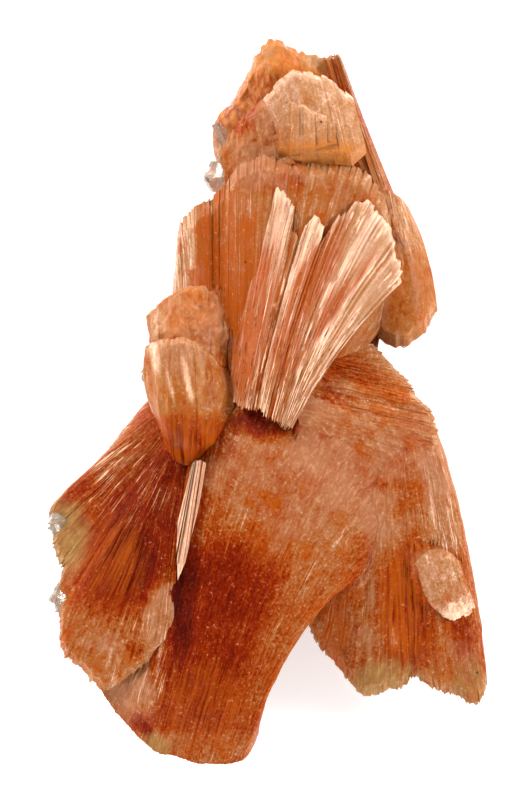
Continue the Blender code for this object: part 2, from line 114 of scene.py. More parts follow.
UPPER_FAN_FRONT = Sheaf(
    rays=[
        (-4.2, 0, 17.2, -0.5, 19.3, 17.2), (-2.9, -1, 18.8, 1.1, 21.6, 18.3),
        (-2.2, -1.2, 20.2, 2.4, 20, 18.6), (-1.6, -1.2, 20.4, 2.9, 18.9, 18.6),
        (-1.1, -1.4, 20.5, 3.9, 17.7, 18.4), (-0.6, -1.7, 20.6, 4.9, 18.7, 18.6),
        (-0.1, -2, 20.6, 5.9, 17.1, 18.6), (0.4, -2.3, 20.6, 7.4, 19.3, 18.2),
        (0.9, -2.6, 20.6, 8.5, 19.6, 18.2), (1.2, -2.8, 20.6, 10.5, 19.7, 17.8),
        (1.5, -3, 20.6, 11.5, 18.5, 17.6), (1.8, -3.1, 20.6, 12.6, 16.7, 17.4),
        (2.1, -3.2, 20.5, 13.3, 14.1, 17), (2.3, -3.3, 20.3, 13.5, 11.7, 16.4),
    ],
    depth=(5, 4), edge_depth=0.7, bows=((0, 0), (-0.7, 0.5)), bevel=(0.5, 0.8),
    lifts=(-0.3, -0.25, -0.3, -0.5, -0.35, -0.35, -0.5, -0.4, -0.42, -0.44, -0.46, -0.5, -0.6),
    cuts=(0, 0, 0, 1.5, 0, 0, 1.5, 1, 0, 0, 0, 0, 0), step=0.02,
)

WING = Sheaf(
    rays=[
        (9.8, 20.2, 13.4, 10.6, 6.6, 12.8), (10.6, 21, 13.8, 11.7, 5.3, 13.4),
        (11.8, 21, 14, 13.5, 4.7, 13.6), (12.9, 20.4, 13.8, 15.3, 5.9, 13.2),
        (13.6, 19.8, 13, 16.3, 7.1, 12.4), (14.2, 19.2, 11.8, 17.1, 8.7, 11.2),
    ],
    bows=((0, 0), (0.5, 0)), bevel=(1.4, 1.2), step=0.08, ragged=0.1,
)

SPINE = Sheaf(
    rays=[
        (9.8, 19, 14.2, 5.6, 34.4, 11.6), (12.2, 16.6, 14.4, 6.6, 34.7, 11.8),
        (13.9, 15, 13.8, 7.1, 34.7, 11.6), (14.9, 15.4, 12.4, 7.4, 34.5, 10.4),
    ],
    depth=(8, 6), edge_depth=0.7, bows=((0, 0), (-0.2, -0.1)), bevel=(0.4, 0.5), step=0.1, ragged=0.1,
)

CAP_PLATE = Sheaf(
    rays=[
        (2.9, 22.9, 17.4, -0.5, 30.1, 14.8), (3.8, 22.8, 18, 0.9, 31.7, 15.4),
        (5.1, 23.1, 18.4, 2.5, 33.1, 15.6), (6.7, 23.2, 18.4, 4.5, 32.6, 15.6),
        (8.5, 23.1, 18, 6.4, 32, 15.4), (9.9, 24.4, 16.8, 8.5, 30.4, 14.6),
    ],
    depth=(8, 6), edge_depth=0.7, swell=0.3, foot_fall=1.6, bevel=(0.6, 0.8), step=0.12, ragged=0.1,
)

CAP_STEPS = Sheaf(
    rays=[
        (1.1, 24.1, 17.6, 1.6, 29.5, 16.8), (2.3, 23.9, 18.2, 2.4, 29.9, 17.2),
        (3.7, 24.1, 18.6, 3.6, 29.4, 17.6), (4.8, 24.3, 18.6, 4.7, 28.7, 17.6),
        (5.9, 24.7, 18.6, 6, 28.3, 17.6), (6.9, 24.9, 18.4, 6.7, 27.7, 17.4),
    ],
    depth=(4, 4), edge_depth=0.8, swell=0.2, foot_fall=1.2, bevel=(0.4, 0.7),
    lifts=(0, 0.4, 0.5, 0.1, -0.1), step=0.05, ragged=0.1,
)

CAP_FLANK = Sheaf(
    rays=[
        (-4.2, 20.6, 12.6, -4.4, 26.2, 11.6), (-2.8, 21.4, 14, -3, 27.8, 12.8),
        (-1.2, 22.4, 15.2, -1.8, 29.2, 13.8), (0.8, 22.6, 16.4, -0.2, 30.4, 14.8),
        (2.9, 22.6, 17.2, 1.4, 31.2, 15.2),
    ],
    edge_depth=0.7, swell=0.5, bevel=(1, 1), ragged=0.5,
)

CREST = Sheaf(
    rays=[
        (-3.4, 19.4, 11.4, -5.3, 24.8, 9.6), (-2.6, 20.4, 12, -5.6, 27.7, 10.2),
        (-1.6, 21.4, 12.4, -4.4, 29.3, 10.8), (-0.6, 22.4, 12.6, -3.2, 30.8, 11.2),
        (0.4, 22.9, 12.8, -2.2, 32.5, 11.6), (1.2, 23.4, 13, -1.3, 34.3, 11.8),
        (2.2, 23.9, 13, -0.5, 35.9, 11.8), (3.2, 24.3, 13, 0.6, 36.5, 11.8),
        (4, 24.4, 12.8, 1.9, 35.8, 11.6), (4.9, 24.4, 12.6, 3.3, 35.1, 11.2),
        (6, 24.4, 12.2, 5.1, 34.6, 10.8), (7.2, 24.4, 11.6, 6.9, 34.7, 10.2),
    ],
    depth=(8, 7), swell=0.8, tip_fall=1, bevel=(0.8, 1), ragged=0.1,
)


def clear_tip(rays, depth, bevel):
    return Sheaf(rays, depth, bevel=bevel, step=0.05, ragged=0.05)


CLEAR_TIPS = [
    clear_tip([
        (-4.5, 25.1, 11.6, -5.7, 27.7, 11), (-3.9, 25.4, 12, -5.2, 28, 11.4),
        (-3.3, 25.7, 11.6, -4.6, 27.8, 11),
    ], (2.4, 2), (0.2, 0.3)),
    clear_tip([
        (-3.4, 23.6, 11.4, -5.8, 23.9, 10.4), (-3.2, 22.4, 12, -6.6, 22, 10.8),
        (-3.4, 20.6, 11.4, -5.9, 20.8, 10.2),
    ], (4, 3), (0.4, 0.6)),
    clear_tip([
        (-10.6, 3.4, 17, -12.4, 3.2, 16.4), (-10.4, 2.4, 17.6, -12.9, 2.1, 16.8),
        (-10.6, 1.2, 17, -12.2, 1.2, 16.2),
    ], (2.6, 2), (0.3, 0.4)),
    clear_tip([
        (-20.2, -11.2, 11, -21.9, -11.5, 10.6), (-20, -12.2, 11.9, -22.3, -12.6, 11.2),
        (-20.2, -13.4, 11, -21.9, -13.4, 10.4),
    ], (3, 2.4), (0.3, 0.4)),
    clear_tip([
        (-18.8, -18.2, 11.4, -21.2, -18.4, 10.8), (-18.6, -19.8, 12.4, -22.1, -20.1, 11.4),
        (-18.8, -21.2, 11.4, -21.3, -21.4, 10.8),
    ], (3.4, 2.6), (0.4, 0.6)),
]

BARREL_TOP = Sheaf(
    rays=[
        (-10.9, -0.1, 17, -12, 8.4, 16.8), (-10.1, -0.1, 18.6, -10.9, 9.3, 18.2),
        (-9.1, -0.1, 19.4, -9.7, 10.3, 18.8), (-7.9, -0.1, 19.6, -8.6, 11.1, 18.8),
        (-6.7, -0.1, 19.2, -6.7, 11.2, 18.4), (-5.7, 0.1, 18.4, -4.9, 11.1, 17.6),
        (-4.7, 0.7, 17.2, -3.6, 9.9, 16.6), (-3.9, 1.4, 15.6, -2.8, 8.1, 15.2),
    ],
    tip_fall=2, tip_fall_from=0.6, bevel=(0.6, 0.8), lifts=(0.3, -0.1, 0.3, 0.1, -0.1, 0.1, 0), step=0.06,
    ragged=0.15,
)

BARREL_BODY = Sheaf(
    rays=[
        (-10.4, -3.4, 16.6, -12, 5.4, 18.2), (-9.9, -5.2, 18.2, -10.9, 6, 20.2),
        (-9.1, -6.2, 19.2, -9.7, 6.1, 21), (-8, -6.6, 19.4, -8.4, 6.3, 21.1),
        (-6.8, -6.4, 19, -7.1, 5.7, 20.4), (-5.4, -5.6, 18, -5.9, 4.9, 18.8),
        (-4, -3.4, 16.4, -4.3, 3.5, 16.4),
    ],
    depth=(6, 8), swell=1.2, foot_fall=2, bows=((-0.8, 0), (0.9, 0)), bevel=(0.6, 0.7),
    lifts=(0, 0.3, -0.1, 0.3, 0, 0), step=0.05, ragged=0.15,
)

LOWER_LEFT_FAN = Sheaf(
    rays=[
        (-8.5, 2.4, 12, -12.4, -0.5, 10.6), (-8.7, 1.4, 13.2, -13.8, -2.2, 11.2),
        (-8.9, 0.5, 14, -15.8, -4.8, 11.6), (-9.1, -0.1, 14.6, -17.8, -6.9, 11.6),
        (-9.2, -0.7, 15, -20.5, -9.3, 11), (-9.3, -1.2, 15.4, -22.3, -11.3, 10.4),
        (-9.3, -1.7, 15.8, -21.9, -13.3, 10.4), (-9.3, -2.1, 16, -21.7, -15, 10.6),
        (-9.3, -2.5, 16.2, -20.9, -16.8, 11), (-9.2, -2.9, 16.4, -21.4, -19.2, 11),
        (-9.1, -3.3, 16.6, -21, -21.8, 11.6), (-9, -3.7, 16.8, -21.1, -25.1, 12.2),
        (-8.9, -4.1, 17, -19.8, -26.5, 12.8), (-8.7, -4.5, 17, -18.2, -28.2, 13.2),
        (-8.5, -4.9, 17, -16.2, -29.6, 13.8), (-8.3, -5.3, 17, -13, -27.4, 15.2),
        (-8.1, -5.7, 16.8, -10.6, -25.4, 16), (-7.9, -6.1, 16.4, -9, -22.9, 16.2),
        (-7.9, -6.5, 15.4, -8.6, -19.6, 15.6),
    ],
    depth=(8, 6), swell=1.2, bevel=(0.9, 1.2),
    lifts=(0, 0, 0, 0.1, 0.05, 0, 0.1, -0.05, -0.15, 0.05, 0.1, 0, 0.1, 0.05, 0.05, 0.05, 0.15, 0.1),
    cuts=(0, 0, 0.2, 0, 0.3, 0, 0.3, 0, 0.8, 0, 0.3, 0, 0.2, 0, 0.2, 0, 0, 0.3), step=0.06, ragged=0.12,
)

LOWER_MIDDLE_FAN = Sheaf(
    rays=[
        (-16.8, -29.2, 11.6, -11.8, -17.5, 12.8), (-15.6, -31, 12.2, -8.9, -9.4, 15.6),
        (-14.2, -32.4, 12.8, -8, -4.8, 17.8), (-12.9, -33.8, 13.4, -5.9, -1.6, 18.8),
        (-11.7, -34.9, 13.8, -3.4, -0.2, 19.4), (-10.7, -35.6, 14.4, -0.6, 0.7, 19.7),
        (-9.2, -35.6, 15, 2.4, 1, 19.8), (-7.7, -36.1, 15.4, 5, 0.6, 19.4),
        (-6.2, -36.4, 15.6, 7.6, -0.4, 18.6), (-5, -36.5, 15.6, 9.9, -1.6, 17.9),
        (-4.2, -36.5, 15.6, 12, -3.2, 17), (-3.4, -36.4, 15.4, 13.7, -5.4, 16.2),
        (-2.7, -36.2, 15.2, 14.8, -8.2, 15.4), (-2.1, -35.9, 14.8, 15, -11, 14.8),
        (-1.4, -34.9, 14, 14, -14, 14.2), (-0.9, -33.4, 12.8, 12.4, -16.4, 13.8),
    ],
    depth=(9, 12), swell=1.4, bows=((1.4, 0), (-2.6, 1.8)), foot_fall=1, tip_fall=1.4,
    bevel=(1, 0.9), lifts=(0, 0, 0.1, 0.1, 0, 0.1, 0, 0.05, 0, 0.1, 0, 0.05, 0.1, 0, 0.1), step=0.04,
    ragged=0.12,
)

LOWER_RIGHT_FAN = Sheaf(
    rays=[
        (7.8, -14.1, 13.6, 4.1, -23, 11), (8.3, -12.1, 14.4, 4.9, -24.7, 11.2),
        (8.9, -10.1, 15.2, 6.5, -26.6, 11), (9.7, -8.6, 15.8, 8.2, -28.9, 10.6),
        (10.5, -6.6, 16.4, 9.9, -30.4, 10.4), (11.3, -4.6, 16.7, 11.8, -30, 10.6),
        (12.2, -3.6, 16.9, 14.1, -29.5, 11), (12.9, -2.8, 16.9, 14.5, -27.8, 11.4),
        (13.7, -2.3, 16.7, 16.7, -29.5, 11.2), (14.5, -2, 16.2, 18.5, -30.2, 11),
        (15.3, -2.1, 15.6, 19.9, -31, 10.6), (16, -1.7, 15, 21.4, -30.9, 10),
        (16.6, -2.1, 14, 22.3, -29, 9.4), (17, -3.1, 12.6, 21.9, -26, 9.2),
    ],
    depth=(8, 6), swell=0.8, foot_fall=1.6, bows=((0, 0), (0.6, 0.3)), bevel=(1.4, 1.2),
    lifts=(0, 0, 0.1, 0, 0.1, 0.1, -0.15, 0, 0.1, 0, 0.1, 0.15, 0.1),
    cuts=(0, 0, 0.2, 0, 0, 0.3, 0, 0.2, 0, 0.4, 0, 0, 0.2), step=0.06, ragged=0.12,
)

PATCH = Sheaf(
    rays=[
        (14.3, -15.6, 14.6, 16.2, -20.9, 13.4), (15.9, -15, 15.3, 18.2, -22.4, 14.2),
        (17.8, -14.9, 15.4, 19.9, -22.1, 13.8), (19.1, -16.1, 14.2, 21, -21.3, 12.6),
    ],
    depth=(4, 3.6), edge_depth=0.7, swell=0.3, foot_fall=0.6, bevel=(0.6, 0.6), step=0.08,
)

SHOULDER = Sheaf(
    rays=[
        (6.3, 5.4, 14.6, 11, 5.5, 12.4), (5.5, 4.7, 15.6, 12.8, 3.3, 13), (4.7, 3.9, 16.4, 14.6, 1.5, 13.6),
        (4.1, 2.9, 17.2, 15.2, 0.1, 14.2), (3.5, 1.8, 17.8, 16.6, -1.1, 14.4),
        (3.1, 0.5, 18.4, 17.2, -3.3, 14.8), (2.9, -1.1, 18.7, 17.4, -5.3, 14.6),
        (3.1, -2.9, 18.3, 16.9, -7.7, 14.2), (3.9, -4.7, 17.3, 15.7, -10.1, 13.8),
        (4.9, -6.3, 16, 13.7, -12.1, 13.2),
    ],
    depth=(11, 7), bevel=(0.8, 1), lifts=(0, 0.1, 0, 0.15, 0, 0.1, 0.05, 0, 0), step=0.08,
    ragged=0.12,
)

SIDE_LATHS = Sheaf(
    rays=[
        (-7.4, -6.4, 18.2, -8.9, -12.4, 17.4), (-7.2, -6.1, 18.8, -9, -15.4, 18.2),
        (-6.9, -6, 19.4, -8.9, -18.5, 18.6), (-6.6, -6, 19.6, -8.2, -16.8, 18.8),
        (-6.3, -6.1, 19.4, -7.5, -13.8, 18.8), (-6, -6.3, 18.8, -6.8, -11.2, 18.4),
    ],
    depth=(2.4, 1.4), bevel=(0.3, 0.3), step=0.1,
)

BACK_UPPER = Sheaf(
    rays=[
        (-6.4, -7, 9, -6, 15, 8.6), (-4.4, -7.4, 11, -4.2, 22, 10), (-1.6, -7.6, 12, -1.4, 27, 10.4),
        (1.4, -7.6, 12, 2.2, 30.4, 10.4), (4.6, -7.4, 12, 7.4, 28.6, 11.6), (7.4, -7, 11, 10.6, 22, 11.6),
        (9.4, -6.4, 9, 12.2, 12, 8.6),
    ],
    depth=(13, 9), back_bevel=5, step=0.5, ragged=1,
)

BACK_LOWER_LEFT = Sheaf(
    rays=[
        (-4.4, 3.6, 9.4, -14.6, -9.6, 8), (-4.6, 1.2, 11.4, -17, -15.4, 8.8),
        (-4, -1, 12.4, -15.8, -22.6, 9.6), (-2.8, -2.6, 12.8, -12.4, -27.6, 10),
        (-1, -3.4, 12.8, -7.8, -31.4, 10), (1.2, -3.2, 12.4, -3.2, -30.6, 9.6),
        (3, -2.2, 11.4, -0.4, -25, 9), (4.4, -0.6, 9.4, 2.2, -18, 8),
    ],
    depth=(13.5, 8), back_bevel=5, step=0.5, ragged=1,
)

BACK_LOWER_RIGHT = Sheaf(
    rays=[
        (1.8, 1.4, 9.4, 7.4, -20, 8.4), (4.6, 2.2, 11.6, 10.2, -24.6, 9),
        (7.2, 2.6, 12.2, 13.4, -25.8, 9.2), (9.8, 2.2, 11.6, 16.8, -25.2, 8.8),
        (11.8, 1.2, 9.4, 18.6, -20.6, 8),
    ],
    depth=(12.5, 7), back_bevel=5, step=0.5, ragged=1,
)


@dataclass
class Piece:
    """What a sheaf gets on top of its main shape: fine blades, breaks, roughness and colour."""

    name: str
    sheaf: Sheaf
    # Blades in each crystal, points along each blade, and layers through the thickness
    blades: int = 8
    stations: int = 40
    layers: int = 6
    # How far blades differ in height and length, and how much each is turned about its own length
    blade_step: float = 0.04
    blade_ragged: float = 0.15
    foot_ragged: float = 0.1
    tilt: float = 0
    # Share of blades that are broken off higher up, and the height of the break
    breaks: float = 0.3
    drop: float = 0.12
    # Fine roughness, and lumps of a given size
    grain: float = 0.02
    lumps: float = 0
    lump_size: float = 3
    # Width over which neighbours are smoothed into each other, counted in crystals
    soften: float = 0
    # Colour: 0 is the deepest red and 1 is cream
    tone: float = 0.5
    tones: tuple = ()
    tone_spread: float = 0.02
    # Share of the blades that are darker than the others, and by how much
    odd_share: float = 0
    odd_tone: float = 0
    # How much paler the free ends are painted, as a painted highlight
    edge_highlight: float = 0.08
    # How strong the fine bright and dark lines are
    lines: float = 0.25
    # Soft patches of each kind. Each is (middle x, y, reach along, reach aside, turn, strength)
    zones: dict = field(default_factory=dict)
    look: str = "striated"


PIECES = [
    Piece(
        "crest", CREST, blades=4, stations=60, blade_step=0, grain=0.08, lumps=0.50, lump_size=1.5,
        breaks=0, soften=1.2, tone=0.61, lines=0, look="smooth",
        zones=dict(
            pale=[(-1.2, 34.5, 2.6, 1.6, 0, 0.06)],
            amber=[(-1, 30, 9, 9, 0, 0.8)],
            # The deep patch is painted shade in the hollow where the crest meets the cap flank
            deep=[(-2.8, 27.2, 2.4, 5.4, -35, 0.30)],
            olive=[(5.6, 33.9, 2.4, 1.2, 0, 0.5), (-5.2, 24.4, 1.8, 2.2, 0, 0.5)],
        ),
    ),
    Piece(
        "spine", SPINE, blades=5, stations=50, breaks=0.5, tone=0.51, lines=0.3,
        zones=dict(
            pale=[(10.4, 23.4, 1, 3.4, 18, 0.15)],
            olive=[(7, 33.4, 1.4, 2.6, 15, 0.35)],
        ),
    ),
    Piece(
        "wing", WING, blades=4, stations=50, blade_step=0, grain=0.03, lumps=0.12, lump_size=2.2,
        breaks=0, soften=0.8, tone=0.63, lines=0.05, look="smooth",
        zones=dict(
            pale=[(13.6, 18, 1.6, 4, 20, 0.14)],
            lines=[(13.6, 18, 1.6, 4, 20, 0.8)],
            # The deep patch is painted shade low on the wing
            deep=[(12.6, 9.4, 1.6, 3, 0, 0.06)],
            amber=[(14, 12, 5, 8, 0, 0.5)],
        ),
    ),
    Piece(
        "cap_flank", CAP_FLANK, blades=5, blade_step=0.01, grain=0.06, lumps=0.3, lump_size=1.2, soften=0.4,
        tone=0.66, edge_highlight=0, lines=0.05, look="frosted",
        zones=dict(
            frost=[(-1.4, 26.2, 3.4, 3.6, 0, 0.7)],
            # The second deep patch is painted shade in the hollow where the flank meets the crest
            deep=[(-3.4, 22, 2, 2, 0, 0.06), (-2.7, 28.4, 2, 2, 0, 0.18)],
        ),
    ),
    Piece(
        "cap_plate", CAP_PLATE, blades=3, stations=44, blade_step=0.005, grain=0.03, lumps=0.12,
        lump_size=1.6, breaks=0.1, tone=0.76, tone_spread=0.01, lines=0.05, look="glassy",
        zones=dict(
            # The deep patch along the foot is painted shade on the cap's underside
            deep=[(6.3, 23.4, 5, 1.6, 4, 0.10)],
            amber=[(6.3, 23.8, 5.4, 1.6, 4, 0.9)],
            pale=[(6.2, 31, 3.2, 1.4, -14, 0.05)],
        ),
    ),
    Piece(
        "cap_steps", CAP_STEPS, blades=3, stations=36, blade_step=0.005, grain=0.03, breaks=0.1, tone=0.75,
        tone_spread=0.01, lines=0.05, look="glassy",
        zones=dict(
            # The deep patch along the foot is painted shade on the cap's underside
            deep=[(4.2, 24.4, 3.6, 1.2, 0, 0.08)],
            amber=[(5.2, 24.2, 5, 1.4, 0, 0.9)],
        ),
    ),
    Piece(
        "upper_fan_back", UPPER_FAN_BACK, blades=11, stations=64, blade_step=0.012, tilt=0.01, grain=0.04,
        drop=0.06, soften=0.35, tone=0.67, tone_spread=0.03, lines=0.18,
        tones=(0.05, 0.07, -0.06, 0, 0, 0.02, 0.02, 0, 0, 0, 0, 0.04, 0),
        zones=dict(
            deep=[
                (-5.4, 12.5, 1.6, 6.5, 0, 0.06), (-3, 3, 3.5, 6, 0, 0.08), (-0.4, 22.8, 3.8, 2.4, 0, 0.17),
                (8, 21, 5, 2.4, -20, 0.07),
            ],
            glow=[
                (-3.2, 11, 3, 9.5, 0, 0.75), (-5.8, 12.5, 1.4, 6.5, 0, 0.6), (4.6, 14.6, 1.8, 4, -20, 0.5),
            ],
            pale=[(-7.6, 13.5, 1.6, 6.5, 0, 0.08), (-3.6, 17.5, 1.8, 3, 0, 0.05)],
            lines=[(-7, 14, 3, 6.5, 0, 0.6)],
            frost=[(-0.4, 22.8, 3.6, 2.2, 0, 0.8), (6, 21.8, 6, 1.4, 0, 0.3)],
        ),
    ),
    Piece(
        "upper_fan_front", UPPER_FAN_FRONT, blades=6, stations=90, layers=5, blade_step=0.025, tilt=0.015,
        foot_ragged=0.7, grain=0.03, breaks=0.9, drop=0.08, soften=0.2, tone=0.85, tone_spread=0.04,
        odd_share=0.12, odd_tone=0.12, lines=0.65, look="pearly",
        tones=(0, 0.05, 0.04, -0.16, 0.03, 0.05, -0.16, -0.04, 0, 0.05, 0.02, 0.04, 0),
        zones=dict(
            glow=[
                (-1.8, 7, 1.3, 8, -10, 0.9), (0, 9, 1.3, 7, -10, 0.35), (2.6, 8.6, 0.9, 6.4, -18, 0.7),
                (5.2, 12.6, 1.2, 5.6, -28, 0.8), (4.6, 7, 1.1, 5.4, -32, 0.4),
                (7.6, 10.4, 0.6, 5.4, -36, 0.4), (0.6, 3, 2.4, 4, -24, 0.12),
            ],
            lines=[(10.6, 13.4, 3, 6, -35, -0.25), (1.6, 3.2, 4.4, 7.6, -30, 0.9)],
            deep=[(1, 0.6, 3, 4.6, -30, 0.13)],
        ),
    ),
    Piece(
        "shoulder", SHOULDER, blades=9, stations=60, blade_step=0.02, grain=0.05, breaks=0.5, drop=0.08,
        lumps=0.25, lump_size=2.2, soften=0.6, tone=0.62, lines=0.05, look="frosted",
        zones=dict(
            frost=[(13.4, -3.4, 3.6, 4, 0, 0.6), (6.6, -0.4, 4.6, 2.6, 0, 0.4)],
            deep=[(7.4, 2, 4, 2.2, -20, 0.10)],
            lines=[(10.4, 1, 5, 2.6, -20, 0.15)],
            pale=[(9.6, 0.4, 2.6, 0.8, -24, 0.14)],
        ),
    ),
    Piece(
        "lower_right_fan", LOWER_RIGHT_FAN, blades=9, stations=64, blade_step=0.008, grain=0.05, drop=0.05,
        lumps=0.25, lump_size=2.5, soften=0.9, tone=0.58, lines=0.05, look="frosted",
        zones=dict(
            deep=[
                (13.8, -22, 2.6, 5.6, 0, 0.23), (19.6, -25, 1.2, 4, 0, 0.06),
                (20.2, -24.6, 1.4, 5, 8, 0.08),
            ],
            glow=[(13.8, -21, 2.6, 5.6, 0, 0.6), (6.8, -22.4, 1.4, 2.6, 15, 0.6)],
            olive=[(11.6, -28.8, 4.4, 2.6, 0, 0.9), (20.4, -29, 2.4, 3.2, 0, 0.6)],
            # The first pale patch, a silvery strip down the right edge, is partly paler stone and partly a
            # painted highlight
            pale=[(17.4, -10.6, 1.8, 7, 8, 0.10), (12.7, -23.8, 0.4, 1.2, 8, 0.4)],
            frost=[
                (17, -8.6, 1.8, 5, 8, 0.7), (13.4, -21.6, 2.4, 5, 0, -0.6), (12.2, -9, 3.6, 5, 0, 0.3),
                (8.6, -18, 3, 6, 15, 0.4), (18.4, -25.6, 2.8, 4, 0, 0.35),
            ],
            lines=[(17.4, -10.6, 1.8, 7, 8, 0.9)],
        ),
    ),
    Piece(
        "patch", PATCH, blades=5, blade_step=0.015, grain=0.04, lumps=0.15, lump_size=1.4, soften=0.8,
        tone=0.77, lines=0.1, look="frosted",
        zones=dict(
            pale=[(19.2, -21.4, 1.6, 1.8, 0, 0.14)],
        ),
    ),
    Piece(
        "lower_left_fan", LOWER_LEFT_FAN, blades=9, stations=64, blade_step=0.012, tilt=0.01, grain=0.04,
        drop=0.07, lumps=0.12, lump_size=2.4, soften=0.7, tone=0.49, lines=0.10, look="frosted",
        zones=dict(
            deep=[(-12.4, -12.5, 4, 8.6, -25, 0.16), (-14.8, -16.4, 3.4, 4, 0, 0.11)],
            frost=[
                (-13, -12.5, 5, 9, -25, -0.7), (-10.4, -21.4, 1.8, 4.6, -10, 0.8),
                (-17.6, -25.4, 3.6, 2.6, 0, 0.4),
            ],
            olive=[(-20.8, -13.8, 3, 4, 0, 0.95)],
            pale=[
                (-18.4, -24.2, 4.2, 4.4, 0, 0.12), (-10.4, -22.6, 2, 4.6, -10, 0.22),
                (-14.4, -27.4, 3, 2.2, -20, 0.15), (-14.6, -5.6, 3, 4, 40, 0.08),
            ],
            glow=[(-15.4, -16, 3.5, 4.5, 0, 0.35)],
            lines=[(-14.6, -7.6, 4.4, 7, 50, 0.9), (-11, -23.6, 2.4, 4, -20, 0.5)],
        ),
    ),
    Piece(
        "side_laths", SIDE_LATHS, blades=3, stations=30, layers=4, blade_step=0.14, tilt=0.06, grain=0.01,
        breaks=0.2, tone=0.88, tone_spread=0.05, odd_share=0.3, odd_tone=0.4, lines=0.6, look="pearly",
    ),
    Piece(
        "lower_middle_fan", LOWER_MIDDLE_FAN, blades=10, stations=80, blade_step=0.008, tilt=0.004,
        grain=0.04, breaks=0.15, drop=0.06, lumps=0.25, lump_size=2.4, soften=1, tone=0.46,
        tone_spread=0.015, lines=0.15, look="frosted",
        zones=dict(
            # The narrow deep patches at -8.9, -17 and -8.2, -20.5 are painted shade in the crevice against
            # the lower left fan, and the one at 0.3, -2.2 painted shade in the hollow under the upper fan's
            # end
            deep=[
                (-4.4, -22.6, 4.6, 9.6, -22, 0.12), (-8.2, -20.5, 1.2, 5.4, -8, 0.24),
                (-8.9, -17, 0.6, 4, 0, 0.40), (-5, -17, 3.6, 3, -20, 0.06), (0.3, -2.2, 3.2, 1.4, 0, 0.26),
                (-12.2, -32.8, 0.5, 2.2, 35, 0.20),
            ],
            frost=[
                (0.3, -2, 4, 2, 0, -0.9), (-5, -22, 5, 10, -20, -0.3), (3.4, -8, 9, 5.6, -10, 0.7),
                (5.6, -6.4, 2, 2.6, -30, 0.4), (-13.6, -29.4, 3.4, 3, 0, 0.7),
            ],
            pale=[
                (3.4, -9, 9.5, 7.5, -14, 0.15), (3.2, -21, 2.6, 9.5, -28, 0.12),
                (-6.8, -34.8, 7, 1.8, 0, 0.14), (-13.6, -28.8, 3, 2.6, 0, 0.20),
            ],
            glow=[(1, -13.5, 4.6, 3, -25, 0.24), (-6, -30, 4.5, 4, 0, 0.3)],
            lines=[(-12.6, -27.4, 3, 3, 0, 0.9)],
            olive=[(-11.2, -34.6, 1.8, 1.4, 0, 0.8)],
        ),
    ),
    Piece(
        "barrel_top", BARREL_TOP, blades=5, blade_ragged=0.04, stations=60, blade_step=0.01, grain=0.08,
        lumps=0.4, lump_size=1.1, breaks=0.1, soften=0.3, tone=0.60, lines=0, look="smooth",
        zones=dict(
            # The pale streak on the left is a painted highlight
            pale=[(-10.4, 6.8, 0.8, 2, 10, 0.24)],
            frost=[(-6.4, 8.2, 4, 3.4, 0, 0.8)],
            amber=[(-6.5, 8, 4, 4, 0, 0.5)],
        ),
    ),
    Piece(
        "barrel_body", BARREL_BODY, blades=5, blade_ragged=0.04, stations=60, blade_step=0.01, grain=0.06,
        lumps=0.22, lump_size=1.1, breaks=0.1, soften=0.3, tone=0.645, lines=0, look="glassy",
        zones=dict(
            deep=[(-7.4, -5.4, 4.8, 3.4, 0, 0.38)],
            glow=[(-7.4, -4.4, 4.6, 3, 0, 0.45)],
            frost=[(-7.4, -4.6, 4.8, 3.4, 0, -1), (-8.6, 3.8, 3.2, 2.8, 0, 0.6)],
            # These pale patches are painted highlights on the facets, and the narrow one at -7.9, 2.2 a
            # painted reflection strip
            pale=[
                (-9.4, 3.4, 1.3, 3, 10, 0.06), (-7.9, 2.2, 0.32, 2.4, 12, 0.32),
                (-11.1, 4.2, 0.5, 1.8, 10, 0.28), (-9.5, 1.2, 0.22, 2, 12, 0.24),
                (-6.4, 3.2, 0.22, 1.4, 8, 0.20),
            ],
            amber=[(-7.4, 0.5, 4, 3, 0, 0.25)],
        ),
    ),
    Piece("back_upper", BACK_UPPER, blades=10, blade_step=0.06, grain=0.05, tone=0.55),
    Piece("back_lower_left", BACK_LOWER_LEFT, blades=10, blade_step=0.06, grain=0.05),
    Piece("back_lower_right", BACK_LOWER_RIGHT, blades=12, blade_step=0.06, grain=0.05, tone=0.52),
] + [
    Piece(f"clear_tip_{number}", sheaf, blades=4, stations=16, layers=4, blade_step=0.02, grain=0.01,
          breaks=0.0, tone=0.9, look="clear")
    for number, sheaf in enumerate(CLEAR_TIPS)
]


def hump(share):
    """0 at both ends and 1 in the middle."""
    return 4 * share * (1 - share)


def ease(share):
    share = np.clip(share, 0, 1)
    return share * share * (3 - 2 * share)


def scatter(cells, seed):
    """One number from 0 to 1 for each whole-number cell, always the same for the same seed."""
    cells = cells.astype(np.int64)
    x, y, z = (cells[..., axis] for axis in range(3))
    mixed = x * 73856093 ^ y * 19349663 ^ z * 83492791 ^ seed * 2654435761
    mixed = (mixed ^ (mixed >> 15)) * 2246822519 & 0xFFFFFFFF
    mixed = (mixed ^ (mixed >> 13)) * 3266489917 & 0xFFFFFFFF
    return ((mixed ^ (mixed >> 16)) & 0xFFFF) / 0xFFFF


def noise(points, seed):
    """Smooth random values from -1 to 1 over space, one bump to a unit."""
    cells = np.floor(points)
    part = points - cells
    part = part * part * (3 - 2 * part)
    total = 0.0
    for corner in np.ndindex(2, 2, 2):
        weight = np.prod(np.where(corner, part, 1 - part), axis=-1)
        total = total + weight * scatter(cells + corner, seed)
    return 2 * total - 1


def layered_noise(points, seed, octaves=3):
    return sum(noise(points * 2 ** i, seed + i) / 2 ** i for i in range(octaves)) / 1.5


